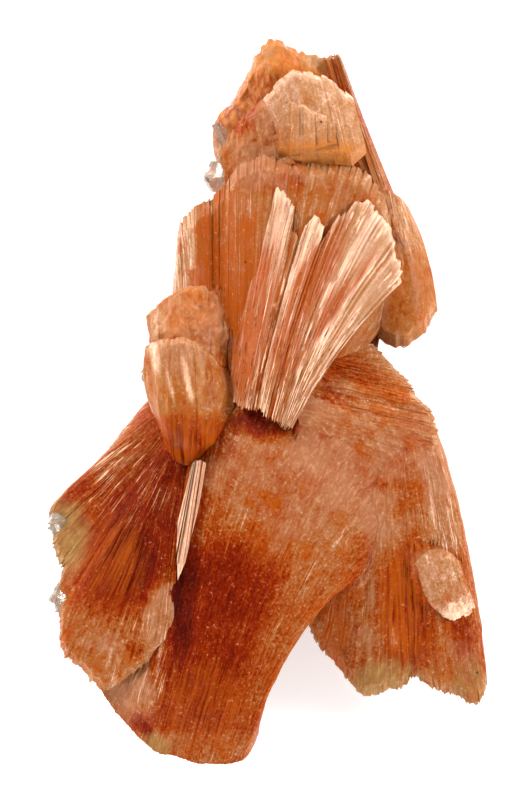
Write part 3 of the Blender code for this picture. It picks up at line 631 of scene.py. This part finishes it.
def front_rise(sheaf, share):
    """How far the front face lies above the straight line from foot to free end."""
    rise = sheaf.swell * hump(share)
    rise = rise - sheaf.foot_fall * ease(1 - share / FOOT_ROUNDING)
    return rise - sheaf.tip_fall * ease((share - sheaf.tip_fall_from) / (1 - sheaf.tip_fall_from))


def thickness(sheaf, across, share):
    """Full in the middle of the sheaf and rounded off towards its first and last rays."""
    roundness = np.sqrt(np.clip(1 - (2 * across - 1) ** 2, 0, 1))
    depth = sheaf.depth[0] + (sheaf.depth[1] - sheaf.depth[0]) * share
    return depth * (sheaf.edge_depth + (1 - sheaf.edge_depth) * roundness)


def box_grid(counts):
    """Numbers of the points on the outside of a grid of points, and the quads between them."""
    outside = np.zeros(counts, bool)
    for axis in range(3):
        for end in (0, -1):
            outside[(slice(None),) * axis + (end,)] = True
    index = np.full(counts, -1)
    index[outside] = np.arange(outside.sum())

    def quads(grid):
        corners = (grid[:-1, :-1], grid[1:, :-1], grid[1:, 1:], grid[:-1, 1:])
        return np.stack(corners, -1).reshape(-1, 4)

    faces = [
        quads(index[:, :, 0]),
        quads(index[:, :, -1])[:, ::-1],
        quads(index[:, -1, :]),
        quads(index[:, 0, :])[:, ::-1],
        quads(index[-1].T),
        quads(index[0].T)[:, ::-1],
    ]
    return outside, np.concatenate(faces)


def blade_places(piece, draw):
    """Where each blade starts and ends, counted in rays, and the crystal that it belongs to."""
    starts = []
    for crystal in range(len(piece.sheaf.rays) - 1):
        widths = draw.uniform(0.4, 1.6, piece.blades)
        starts.append(crystal + np.concatenate([[0], np.cumsum(widths)[:-1]]) / widths.sum())
    starts = np.concatenate(starts)
    ends = np.append(starts[1:], len(piece.sheaf.rays) - 1)
    return starts, ends, np.repeat(np.arange(len(piece.sheaf.rays) - 1), piece.blades)


def chosen(values, crystals):
    return np.array(values)[crystals] if values else np.zeros(len(crystals))


def softened(values, slices):
    """A running mean over so many slices, with the end values carried on past the ends."""
    if slices < 2:
        return values
    margin = slices // 2
    padded = np.concatenate([np.repeat(values[:1], margin, 0), values, np.repeat(values[-1:], margin, 0)])
    sums = np.cumsum(np.concatenate([np.zeros_like(padded[:1]), padded]), axis=0)
    width = 2 * margin + 1
    means = (sums[width:] - sums[:-width]) / width
    # The outline stays where it is at both ends
    fade = np.minimum(np.arange(len(values)), np.arange(len(values))[::-1]) / margin
    fade = np.clip(fade, 0, 1).reshape((-1,) + (1,) * (values.ndim - 1))
    return means * fade + values * (1 - fade)


def broken_blades(piece, shares, draw):
    """Shift two points of each broken blade to its break, and say how much lower it is past there."""
    fall = np.zeros_like(shares)
    count = shares.shape[0] // 2
    for blade in np.flatnonzero(draw.random(count) < piece.breaks):
        place = int(draw.uniform(0.1, 0.92) * (piece.stations - 2))
        share = (place + 0.5) / (piece.stations - 1)
        drop = draw.uniform(0.3, 1.0) * piece.drop * draw.choice((-1, 1))
        rows = slice(2 * blade, 2 * blade + 2)
        shares[rows, place] = share - 0.001
        shares[rows, place + 1] = share + 0.001
        fall[rows, place + 1:] += drop
    return fall


def slice_places(starts, ends, last):
    """Both sides of each blade, counted in rays. A thin wall is left between it and the next one."""
    wall = WALL * (ends - starts)
    places = np.stack([starts + wall, ends - wall], 1).ravel()
    places[0], places[-1] = 0, last
    return places


def slice_ends(rays, places, width):
    """The foot and the free end of each slice."""
    numbers = np.arange(len(rays))
    return [
        softened(np.stack([np.interp(places, numbers, rays[:, end, axis]) for axis in range(3)], 1), width)
        for end in (0, 1)
    ]


def lifts_and_cuts(piece, crystals, width, draw):
    """How much higher and how much shorter each slice is than its rays say."""
    sheaf = piece.sheaf
    crystal_count = len(sheaf.rays) - 1
    lift = chosen(sheaf.lifts, crystals) + draw.uniform(-sheaf.step, sheaf.step, crystal_count)[crystals]
    cut = chosen(sheaf.cuts, crystals) + draw.uniform(-sheaf.ragged, sheaf.ragged, crystal_count)[crystals]
    blade_lift = draw.normal(0, piece.blade_step, len(crystals))
    blade_cut = draw.uniform(0, 2 * piece.blade_ragged, len(crystals))
    tilt = draw.uniform(-piece.tilt, piece.tilt, len(crystals))
    lift = softened(np.repeat(lift, 2), width) + np.stack([blade_lift - tilt, blade_lift + tilt], 1).ravel()
    return lift, softened(np.repeat(cut, 2), width) + np.repeat(blade_cut, 2)


def start_and_end(piece, cut, length, draw):
    """Where each slice starts and where each of its layers ends, as shares of its length."""
    count = len(length) // 2
    layer_cut = np.zeros((len(length), piece.layers))
    layer_cut[:, 0] = piece.sheaf.bevel[0]
    layer_cut[:, -1] = piece.sheaf.back_bevel
    inner_cut = draw.uniform(0, 2 * piece.blade_ragged, (count, piece.layers - 2))
    layer_cut[:, 1:-1] += np.repeat(inner_cut, 2, axis=0)
    end = 1 - (cut[:, None] + layer_cut) / length[:, None]
    start = np.repeat(draw.uniform(0, piece.foot_ragged, count), 2) / length
    return start, end


def blade_tones(piece, crystals, draw):
    tones = chosen(piece.tones, crystals) + draw.normal(0, piece.tone_spread, len(crystals))
    return tones - piece.odd_tone * (draw.random(len(crystals)) < piece.odd_share)


def sheaf_points(piece, draw):
    """All the grid's points, counted (slice, station, layer), with the values that the colours need."""
    sheaf = piece.sheaf
    rays = np.array(sheaf.rays).reshape(-1, 2, 3)
    starts, ends, crystals = blade_places(piece, draw)
    places = slice_places(starts, ends, len(rays) - 1)
    width = int(piece.soften * 2 * piece.blades)
    foot, tip = slice_ends(rays, places, width)
    length = np.linalg.norm(tip - foot, axis=1)
    across = places / (len(rays) - 1)
    lift, cut = lifts_and_cuts(piece, crystals, width, draw)
    start, end = start_and_end(piece, cut, length, draw)

    shares = np.tile(np.linspace(0, 1, piece.stations), (len(places), 1))
    fall = broken_blades(piece, shares, draw)
    share = start[:, None, None] + shares[:, :, None] * (end - start[:, None])[:, None, :]

    bows = np.array(sheaf.bows)
    bend = bows[0] + (bows[1] - bows[0]) * across[:, None]
    points = foot[:, None, None] + (tip - foot)[:, None, None] * share[..., None]
    points[..., :2] += bend[:, None, None] * hump(share)[..., None]

    back_step = np.repeat(draw.normal(0, 1.5 * piece.blade_step, len(crystals)), 2)
    deep = thickness(sheaf, across[:, None, None], share)
    front = points[..., 2] + front_rise(sheaf, share) + (lift[:, None] - fall)[..., None]
    back = points[..., 2] - deep + back_step[:, None, None]
    first = sheaf.bevel[1] / np.mean(sheaf.depth)
    sink = np.concatenate([[0], np.linspace(first, 1, piece.layers - 1)])
    points[..., 2] = front + (back - front) * sink

    spacing = np.linalg.norm(np.diff(rays[:, 1], axis=0), axis=1).mean()
    along = share * length[:, None, None]
    fan = np.stack(np.broadcast_arrays(places[:, None, None] * spacing, along, deep * sink), -1)
    height = (lift[:, None] - fall - lift.mean())[..., None]
    # Painted light and shade: raised blades paler and sunken ones darker, by their height
    tone = np.repeat(blade_tones(piece, crystals, draw), 2)[:, None, None] + PAINTED_LIFT_SHADE * height
    # Painted highlight: the free ends paler, over a band this wide
    tone = tone + piece.edge_highlight * ease(1 - (length[:, None, None] * (end[:, None, :] - share)) / EDGE_HIGHLIGHT_WIDTH)
    return points, fan, tone + piece.tone


# How far apart two front faces may be, in height, and still run into each other, and which pieces do
FILLETS = (
    (1.6, ("lower_middle_fan", "shoulder", "lower_right_fan", "patch")),
    (1.0, ("crest", "cap_flank", "cap_plate", "upper_fan_back", "spine", "wing")),
    (1.4, ("barrel_top", "barrel_body", "upper_fan_back")),
)


def roughen(piece, points, fan, seed):
    """Give the faces their grain and lumps, and keep everything above the surface that it rests on."""
    points = points.copy()
    for axis, share in enumerate((0.6, 0.6, 1.0)):
        grain = layered_noise(fan * GRAIN_DENSITY, seed + 10 * axis)
        points[..., axis] += piece.grain * share * grain
        if piece.lumps:
            lumps = layered_noise(points / piece.lump_size, seed + 5 + axis)
            points[..., axis] += piece.lumps * share * lumps
    points[..., 2] = np.maximum(points[..., 2], 0)
    return points


class HeightMap:
    """The front face of a piece as heights over a grid in the plan view."""

    # Size of a cell in millimetres, and half the grid's width in cells
    CELL = 0.2
    HALF = 200

    def __init__(self, points):
        self.heights = np.full((2 * self.HALF, 2 * self.HALF), -np.inf)
        cells = self.cells(points[:, :, 0])
        np.maximum.at(self.heights, (cells[..., 0], cells[..., 1]), points[:, :, 0, 2])
        for _ in range(2):
            self.fill_gaps()

    def cells(self, points):
        numbers = np.rint(points[..., :2] / self.CELL).astype(int) + self.HALF
        return np.clip(numbers, 0, 2 * self.HALF - 1)

    def fill_gaps(self):
        """Empty cells take the highest of their neighbours."""
        near = np.full_like(self.heights, -np.inf)
        for across in (-1, 0, 1):
            for along in (-1, 0, 1):
                near = np.maximum(near, np.roll(self.heights, (across, along), (0, 1)))
        self.heights = np.where(np.isinf(self.heights), near, self.heights)

    def at(self, points):
        cells = self.cells(points)
        return self.heights[cells[..., 0], cells[..., 1]]


def fillet(points, neighbours, width):
    """Raise the front face near where it crosses its neighbours, so that they run into each other."""
    others = np.max([each.at(points[:, :, 0]) for each in neighbours], axis=0)
    gap = np.abs(points[:, :, 0, 2] - others)
    nearness = np.clip(1 - gap / width, 0, 1)
    points[:, :, 0, 2] += width / 4 * nearness ** 2
    return nearness


def zone_strength(zone, points):
    """A patch is full out to half its reach, and fades out at one and a half times its reach."""
    x, y, reach_along, reach_aside, turn, strength = zone
    turn = math.radians(turn)
    offset = points[..., :2] - (x, y)
    along = offset[..., 0] * math.cos(turn) + offset[..., 1] * math.sin(turn)
    aside = offset[..., 1] * math.cos(turn) - offset[..., 0] * math.sin(turn)
    reach = np.sqrt((along / reach_along) ** 2 + (aside / reach_aside) ** 2)
    return strength * ease(1.5 - reach)


def zone_sum(piece, kind, points):
    return sum((zone_strength(zone, points) for zone in piece.zones.get(kind, ())), 0 * points[..., 0])


def add_value(mesh, name, values):
    layer = mesh.attributes.new(name, "FLOAT", "POINT")
    layer.data.foreach_set("value", values.astype(np.float32))


def sheaf_grids():
    """The points of every piece, with the faces of grown-together neighbours run into each other."""
    grids = {}
    for seed, piece in enumerate(PIECES, 1):
        points, fan, tone = sheaf_points(piece, np.random.default_rng(seed))
        grids[piece.name] = (roughen(piece, points, fan, seed), fan, tone, np.zeros_like(tone))
    for width, names in FILLETS:
        maps = {name: HeightMap(grids[name][0]) for name in names}
        for name in names:
            near = fillet(grids[name][0], [maps[other] for other in names if other != name], width)
            grids[name][3][:, :, 0] += MERGED_FROST * near
    return grids


def sheaf_object(piece, points, fan, tone, merged):
    outside, faces = box_grid(points.shape[:3])
    points, fan, tone, merged = points[outside], fan[outside], tone[outside], merged[outside]
    if signed_volume(points, faces) < 0:
        faces = faces[:, ::-1]
    mesh = bpy.data.meshes.new(piece.name)
    mesh.from_pydata(points * MM, [], faces)
    mesh.shade_smooth()
    mesh.set_sharp_from_angle(angle=math.radians(SHARP_ANGLE))
    layer = mesh.attributes.new("fan", "FLOAT_VECTOR", "POINT")
    layer.data.foreach_set("vector", fan.astype(np.float32).ravel())
    # Pale patches include painted highlights, and deep ones painted shade in some crevices and hollows
    pale, deep = zone_sum(piece, "pale", points), zone_sum(piece, "deep", points)
    add_value(mesh, "tone", tone + pale - deep)
    add_value(mesh, "lines", piece.lines + zone_sum(piece, "lines", points))
    add_value(mesh, "frost", np.clip(zone_sum(piece, "frost", points) + merged, -1, 1))
    for kind in ("olive", "glow", "amber"):
        add_value(mesh, kind, np.clip(zone_sum(piece, kind, points), 0, 1))
    crystal = bpy.data.objects.new(piece.name, mesh)
    bpy.context.scene.collection.objects.link(crystal)
    return crystal


def signed_volume(points, faces):
    a, b, c, d = (points[faces[:, i]] for i in range(4))
    first = np.einsum("ij,ij->i", a, np.cross(b, c))
    second = np.einsum("ij,ij->i", a, np.cross(c, d))
    return (first + second).sum() / 6


class Graph:
    """A material's nodes, made in the order that they are used."""

    def __init__(self, name):
        self.material = bpy.data.materials.new(name)
        self.material.use_nodes = True
        self.tree = self.material.node_tree
        self.shader = self.tree.nodes["Principled BSDF"]

    def put(self, socket, value):
        if isinstance(value, bpy.types.NodeSocket):
            self.tree.links.new(value, socket)
        else:
            socket.default_value = value

    def node(self, kind, values=(), output=0, **settings):
        made = self.tree.nodes.new(kind)
        for name, value in settings.items():
            setattr(made, name, value)
        for key, value in dict(values).items():
            self.put(made.inputs[key], value)
        return made.outputs[output]

    def attribute(self, name, output="Fac"):
        return self.node("ShaderNodeAttribute", output=output, attribute_name=name)

    def math(self, operation, *values, clamp=False):
        return self.node("ShaderNodeMath", enumerate(values), operation=operation, use_clamp=clamp)

    def add(self, first, second):
        return self.math("ADD", first, second)

    def times(self, first, second):
        return self.math("MULTIPLY", first, second)

    def shift(self, value, amount):
        """Half the amount up where the value is 1, and half the amount down where it is 0."""
        return self.times(self.math("SUBTRACT", value, 0.5), amount)

    def scaled(self, vector, scale):
        return self.node("ShaderNodeVectorMath", {0: vector, 1: scale}, operation="MULTIPLY")

    def noise(self, vector, detail=3.0, roughness=0.55):
        return self.node("ShaderNodeTexNoise", {
            "Vector": vector, "Scale": 1.0, "Detail": detail, "Roughness": roughness,
        })

    def range(self, value, low, high, to_low=0.0, to_high=1.0):
        return self.node("ShaderNodeMapRange", {
            "Value": value, "From Min": low, "From Max": high, "To Min": to_low, "To Max": to_high,
        })

    def ramp(self, value, stops):
        made = self.tree.nodes.new("ShaderNodeValToRGB")
        elements = made.color_ramp.elements
        while len(elements) < len(stops):
            elements.new(1.0)
        for element, (place, colour) in zip(elements, stops):
            element.position = place
            element.color = (*colour, 1.0)
        self.put(made.inputs["Fac"], value)
        return made.outputs["Color"]

    def mix(self, share, first, second):
        made = self.tree.nodes.new("ShaderNodeMix")
        made.data_type = "RGBA"
        self.put(made.inputs["Factor"], share)
        for name, value in (("A", first), ("B", second)):
            socket = [each for each in made.inputs if each.name == name and each.type == "RGBA"][0]
            self.put(socket, value)
        return [each for each in made.outputs if each.type == "RGBA"][0]


# The stone's colours from tone 0, deep red, to tone 1, cream. Each row is (tone, red, green and blue)
STONE_COLOURS = (
    (0.00, (0.045, 0.002, 0.0005)),
    (0.20, (0.100, 0.005, 0.0005)),
    (0.35, (0.160, 0.009, 0.0005)),
    (0.50, (0.230, 0.030, 0.0015)),
    (0.60, (0.270, 0.072, 0.011)),
    (0.70, (0.290, 0.112, 0.036)),
    (0.80, (0.350, 0.172, 0.080)),
    (0.90, (0.500, 0.280, 0.180)),
    (1.00, (0.720, 0.460, 0.320)),
)
OLIVE_COLOURS = (
    (0.0, (0.110, 0.048, 0.011)),
    (0.5, (0.260, 0.125, 0.034)),
    (1.0, (0.400, 0.270, 0.130)),
)
CLEAR_COLOURS = ((0.0, (0.78, 0.72, 0.54)), (1.0, (0.97, 0.95, 0.86)))
PAPER_COLOURS = ((0.0, (0.95,) * 3), (1.0, (0.97,) * 3))
FROST_COLOUR = (0.310, 0.122, 0.056, 1.0)
HAZE_COLOUR = (0.460, 0.225, 0.130, 1.0)
GLOW_COLOUR = (0.300, 0.057, 0.003, 1.0)
AMBER_COLOUR = (0.400, 0.138, 0.024, 1.0)
# Pale colour of the painted glints
PAINTED_GLINT_COLOUR = (0.62, 0.40, 0.25, 1.0)
DASH_COLOUR = (0.110, 0.022, 0.005, 1.0)
SPECK_COLOUR = (0.035, 0.018, 0.010, 1.0)


@dataclass
class Look:
    """How one kind of surface differs from the others."""

    # How far wisps, streaks, clouds, mottling and grain shift the colour
    wisps: float = 0.08
    streaks: float = 0.07
    clouds: float = 0.09
    mottle: float = 0.12
    grain: float = 0.14
    # Roughness in the dark and in the pale mottling
    roughness: tuple = (0.12, 0.32)
    # Fine lines to a millimetre
    fineness: float = 4.8
    # How rough the surface is, and the share of that which is pits
    bump: float = 0.4
    pits: float = 0.3
    # How unevenly the frost lies, in clouds, and how much of the stone between clouds glows
    haze: float = 3.2
    vivid: float = 0.5
    # How far light travels in the stone, in millimetres, and how much it shines
    glow: float = 0.12
    gloss: float = 0.07
    # How much paler the cracks inside are
    cracks: float = 0.0


LOOKS = {
    "striated": Look(),
    "pearly": Look(
        haze=0.8, vivid=0.0, wisps=0.05, streaks=0.08, clouds=0.06, mottle=0.05, grain=0.08, fineness=4.4,
        bump=0.45, pits=0.25, gloss=0.12,
    ),
    "frosted": Look(
        vivid=0.4, wisps=0.09, clouds=0.20, mottle=0.26, grain=0.30, roughness=(0.18, 0.42), bump=0.85,
        pits=0.9, glow=0.25, gloss=0.04,
    ),
    "smooth": Look(
        vivid=0.3, wisps=0.05, streaks=0.02, clouds=0.18, mottle=0.18, grain=0.20, roughness=(0.14, 0.38),
        bump=0.5, pits=0.8, glow=0.6, gloss=0.08, cracks=0.05,
    ),
    "glassy": Look(
        vivid=0.2, wisps=0.06, streaks=0.03, clouds=0.18, mottle=0.16, grain=0.18, roughness=(0.10, 0.28),
        bump=0.5, pits=0.8, glow=0.5, gloss=0.07, cracks=0.08,
    ),
}


def dots(graph, place, spacing, size, share):
    """1 inside scattered round dots and 0 outside. Lengths are millimetres."""
    cells = {"Vector": graph.scaled(place, (1 / (spacing * MM),) * 3), "Scale": 1.0}
    distance = graph.node("ShaderNodeTexVoronoi", cells, output="Distance")
    kind = graph.node("ShaderNodeTexVoronoi", cells, output="Color")
    chosen_cell = graph.math("LESS_THAN", graph.node("ShaderNodeSeparateColor", {"Color": kind}), share)
    edge = size / spacing
    return graph.times(graph.range(distance, 0.6 * edge, edge, 1.0, 0.0), chosen_cell)


def crack_lines(graph, place, strength):
    """Thin pale lines where the stone is cracked inside, between uneven cells about 3 mm wide."""
    bend = graph.node(
        "ShaderNodeTexNoise", {"Vector": graph.scaled(place, (500.0,) * 3), "Scale": 1.0}, output="Color",
    )
    cells = graph.node(
        "ShaderNodeVectorMath", {0: graph.scaled(place, (340.0,) * 3), 1: graph.scaled(bend, (0.9,) * 3)},
        operation="ADD",
    )
    edge = graph.node(
        "ShaderNodeTexVoronoi", {"Vector": cells, "Scale": 1.0}, feature="DISTANCE_TO_EDGE",
        output="Distance",
    )
    patchy = graph.range(graph.noise(graph.scaled(place, (400.0,) * 3)), 0.45, 0.62)
    return graph.times(graph.range(edge, 0.0, 0.04, strength, 0.0), patchy)


def stone_noises(graph, look):
    """The patterns that the stone's colour and its surface share, each from 0 to 1."""
    fan = graph.attribute("fan", "Vector")
    place = graph.node("ShaderNodeTexCoord", output="Object")
    return SimpleNamespace(
        place=place,
        lines=graph.attribute("lines"),
        wisp=graph.noise(graph.scaled(fan, (0.8, 0.18, 0.4)), 1.0, 0.5),
        streak=graph.noise(graph.scaled(fan, (1.9, 0.13, 0.8)), 2.0, 0.6),
        hair=graph.noise(graph.scaled(fan, (look.fineness, 0.26, 2.0)), 3.0, 0.6),
        dashes=graph.noise(graph.scaled(fan, (2.4, 0.9, 1.0)), 2.0),
        mottle=graph.noise(graph.scaled(fan, (1.6, 0.95, 1.4)), 5.0, 0.68),
        cloud=graph.noise(graph.scaled(place, (280.0,) * 3), 5.0, 0.62),
        grain=graph.noise(graph.scaled(place, (3600.0,) * 3), 3.0, 0.7),
    )


def stone_tone(graph, look, noises):
    """0 where the stone is deepest red and 1 where it is cream."""
    tone = graph.attribute("tone")
    for name, amount in (
        ("wisp", look.wisps), ("cloud", look.clouds), ("mottle", look.mottle), ("grain", look.grain),
    ):
        tone = graph.add(tone, graph.shift(getattr(noises, name), 2 * amount))
    streaking = graph.add(graph.times(noises.lines, 0.24), 2 * look.streaks)
    tone = graph.add(tone, graph.shift(noises.streak, streaking))
    # Fine bright lines come in bundles. They are partly pale cleavage lines and partly painted highlights
    # along the striations
    bundle = graph.range(noises.wisp, 0.42, 0.60)
    high = graph.add(noises.hair, graph.times(noises.lines, 0.04))
    bright_lines_and_highlights = graph.times(graph.range(high, 0.57, 0.64, 0.0, 0.50), bundle)
    tone = graph.add(tone, graph.times(bright_lines_and_highlights, graph.add(noises.lines, 0.22)))
    if look.cracks:
        tone = graph.add(tone, crack_lines(graph, noises.place, look.cracks))
    return tone


def dark_dashes(graph, noises):
    """Short dark lines along the blades, where one is split from the next."""
    low = graph.math("SUBTRACT", noises.hair, graph.times(noises.lines, 0.05))
    dark = graph.times(graph.range(low, 0.345, 0.375, 1.0, 0.0), graph.range(noises.dashes, 0.44, 0.56))
    return graph.times(graph.math("MULTIPLY", dark, noises.lines, clamp=True), 0.85)


def glow_share(graph, look, noises, tone):
    """Where light seems to come out of the stone: in the glow zones, in streaks, and between clouds."""
    between_clouds = graph.range(noises.cloud, 0.38, 0.48, look.vivid, 0.0)
    glow = graph.add(graph.attribute("glow"), graph.times(between_clouds, graph.range(tone, 0.36, 0.52)))
    streaks = graph.math("SUBTRACT", graph.times(noises.streak, 5.0), 1.5)
    return graph.range(graph.times(glow, streaks), 0.12, 0.65, 0.0, 0.9)


def olive_over(graph, noises, stone):
    ragged = graph.add(graph.attribute("olive"), graph.math("SUBTRACT", noises.wisp, 0.5))
    yellow = graph.ramp(graph.add(noises.mottle, graph.math("SUBTRACT", noises.hair, 0.5)), OLIVE_COLOURS)
    return graph.mix(graph.range(ragged, 0.20, 0.95), stone, yellow)


def sprinkled(graph, noises, tone, stone):
    """Painted glints as pale sparks and dots, fewer on deep red stone, and a few dark specks."""
    grain = noises.grain
    painted_glints = graph.times(graph.range(grain, 0.605, 0.68, 0.0, 0.55), graph.range(noises.mottle, 0.47, 0.60))
    glint_dots = dots(graph, noises.place, 3.8, 0.46, 0.25)
    glint_dots = graph.times(graph.range(grain, 0.42, 0.60, 0.0, 0.5), glint_dots)
    painted_glints = graph.times(graph.math("MAXIMUM", painted_glints, glint_dots), graph.range(tone, 0.25, 0.60, 0.15, 1.0))
    # The sparks and dots are painted glints, mixed in as a pale colour
    stone = graph.mix(painted_glints, stone, PAINTED_GLINT_COLOUR)
    specks = graph.times(graph.range(grain, 0.40, 0.50), dots(graph, noises.place, 2.6, 0.20, 0.24))
    return graph.mix(specks, stone, SPECK_COLOUR)


def stone_material(name, look):
    graph = Graph(f"stilbite_{name}")
    noises = stone_noises(graph, look)
    tone = stone_tone(graph, look, noises)
    stone = graph.ramp(tone, STONE_COLOURS)
    stone = graph.mix(glow_share(graph, look, noises, tone), stone, GLOW_COLOUR)
    amber = graph.times(graph.attribute("amber"), graph.range(noises.mottle, 0.3, 0.6))
    stone = graph.mix(amber, stone, AMBER_COLOUR)
    stone = olive_over(graph, noises, stone)
    stone = graph.mix(dark_dashes(graph, noises), stone, DASH_COLOUR)
    haze = graph.add(graph.attribute("frost"), graph.shift(noises.cloud, look.haze))
    frost = graph.range(haze, 0.25, 1.2, 0.0, 0.75)
    stone = graph.mix(frost, stone, FROST_COLOUR)
    pale_frost = graph.times(frost, graph.range(noises.mottle, 0.50, 0.66, 0.0, 0.8))
    stone = graph.mix(pale_frost, stone, HAZE_COLOUR)
    stone = sprinkled(graph, noises, tone, stone)

    ridges = graph.times(noises.hair, graph.add(noises.lines, 0.2))
    height = graph.add(ridges, graph.times(noises.grain, look.pits))
    normal = graph.node("ShaderNodeBump", {"Strength": look.bump, "Distance": 0.10 * MM, "Height": height})
    shine = graph.range(noises.mottle, 0.35, 0.65, *look.roughness)
    inputs = graph.shader.inputs
    graph.put(inputs["Base Color"], stone)
    graph.put(inputs["Roughness"], graph.add(shine, graph.times(frost, 0.25)))
    graph.put(inputs["Normal"], normal)
    inputs["IOR"].default_value = 1.5
    inputs["Specular IOR Level"].default_value = look.gloss
    inputs["Subsurface Weight"].default_value = 0.85
    inputs["Subsurface Radius"].default_value = (1.0, 0.55, 0.35)
    inputs["Subsurface Scale"].default_value = look.glow * MM
    return graph.material


def clear_material():
    graph = Graph("stilbite_clear")
    fan = graph.attribute("fan", "Vector")
    hair = graph.noise(graph.scaled(fan, (8.0, 0.6, 3.0)), 2.0, 0.5)
    normal = graph.node("ShaderNodeBump", {"Strength": 0.5, "Distance": 0.05 * MM, "Height": hair})
    inputs = graph.shader.inputs
    graph.put(inputs["Base Color"], graph.ramp(hair, CLEAR_COLOURS))
    graph.put(inputs["Normal"], normal)
    inputs["Roughness"].default_value = 0.12
    inputs["IOR"].default_value = 1.5
    inputs["Transmission Weight"].default_value = 0.88
    return graph.material


def make_specimen():
    materials = {name: stone_material(name, look) for name, look in LOOKS.items()}
    materials["clear"] = clear_material()
    grids = sheaf_grids()
    for piece in PIECES:
        crystal = sheaf_object(piece, *grids[piece.name])
        crystal.data.materials.append(materials[piece.look])
        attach(crystal, "root")
        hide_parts(SPECIMEN)


def make_floor():
    """White paper, a little below the specimen so that the two don't touch."""
    mesh = bpy.data.meshes.new("floor")
    turns = ((-1, -1), (1, -1), (1, 1), (-1, 1))
    corners = [(x * FLOOR_HALF, y * FLOOR_HALF, FLOOR_LEVEL) for x, y in turns]
    mesh.from_pydata(corners, [], [(0, 1, 2, 3)])
    floor = bpy.data.objects.new("floor", mesh)
    bpy.context.scene.collection.objects.link(floor)
    graph = Graph("floor_paper")
    grain = graph.noise(graph.scaled(graph.node("ShaderNodeTexCoord", output="Object"), (60.0,) * 3))
    inputs = graph.shader.inputs
    graph.put(inputs["Base Color"], graph.ramp(grain, PAPER_COLOURS))
    inputs["Roughness"].default_value = 0.9
    inputs["Specular IOR Level"].default_value = 0.1
    inputs["Emission Color"].default_value = (1.0, 1.0, 1.0, 1.0)
    inputs["Emission Strength"].default_value = 0.3
    mesh.materials.append(graph.material)


def add_light(name, place, size, power, colour=(1.0, 1.0, 1.0)):
    """A square soft light that faces the specimen."""
    light = bpy.data.lights.new(name, "AREA")
    light.shape = "SQUARE"
    light.size = size
    light.energy = power
    light.color = colour
    lamp = bpy.data.objects.new(name, light)
    lamp.location = place
    lamp.rotation_euler = Vector(place).to_track_quat("Z", "Y").to_euler()
    bpy.context.scene.collection.objects.link(lamp)


def make_lights():
    world = bpy.data.worlds.new("studio")
    world.use_nodes = True
    nodes, links = world.node_tree.nodes, world.node_tree.links
    background = nodes["Background"]
    background.inputs["Color"].default_value = (1.0, 1.0, 1.0, 1.0)
    # Bright all round and dark overhead, so that flat faces keep their deep colour
    direction = nodes.new("ShaderNodeTexCoord")
    upward = nodes.new("ShaderNodeSeparateXYZ")
    strength = nodes.new("ShaderNodeMapRange")
    strength.interpolation_type = "SMOOTHSTEP"
    for name, value in (("From Min", 0.60), ("From Max", 0.92), ("To Min", 0.95), ("To Max", 0.20)):
        strength.inputs[name].default_value = value
    links.new(direction.outputs["Generated"], upward.inputs[0])
    links.new(upward.outputs["Z"], strength.inputs["Value"])
    links.new(strength.outputs["Result"], background.inputs["Strength"])
    bpy.context.scene.world = world
    add_light("key", (-0.50, 0.55, 0.46), 0.30, 10.0, (1.0, 0.98, 0.95))
    add_light("fill", (0.66, 0.16, 0.40), 0.30, 8.0, (0.97, 0.985, 1.0))
    add_light("low", (-0.20, -0.80, 0.28), 0.36, 6.0)
    scene = bpy.context.scene
    scene.view_settings.view_transform = "Standard"
    scene.view_settings.look = "None"


def make_camera():
    data = bpy.data.cameras.new("camera")
    data.lens = LENS
    data.sensor_width = SENSOR
    data.sensor_fit = "VERTICAL"
    data.sensor_height = SENSOR
    distance = VIEW_HEIGHT * LENS / SENSOR + VIEW_LEVEL
    data.clip_start = 0.01
    data.clip_end = 20.0
    camera = bpy.data.objects.new("camera", data)
    camera.location = Vector((*VIEW_MIDDLE, distance)) * MM
    bpy.context.scene.collection.objects.link(camera)
    bpy.context.scene.camera = camera


make_camera()
make_floor()
make_lights()
make_specimen()
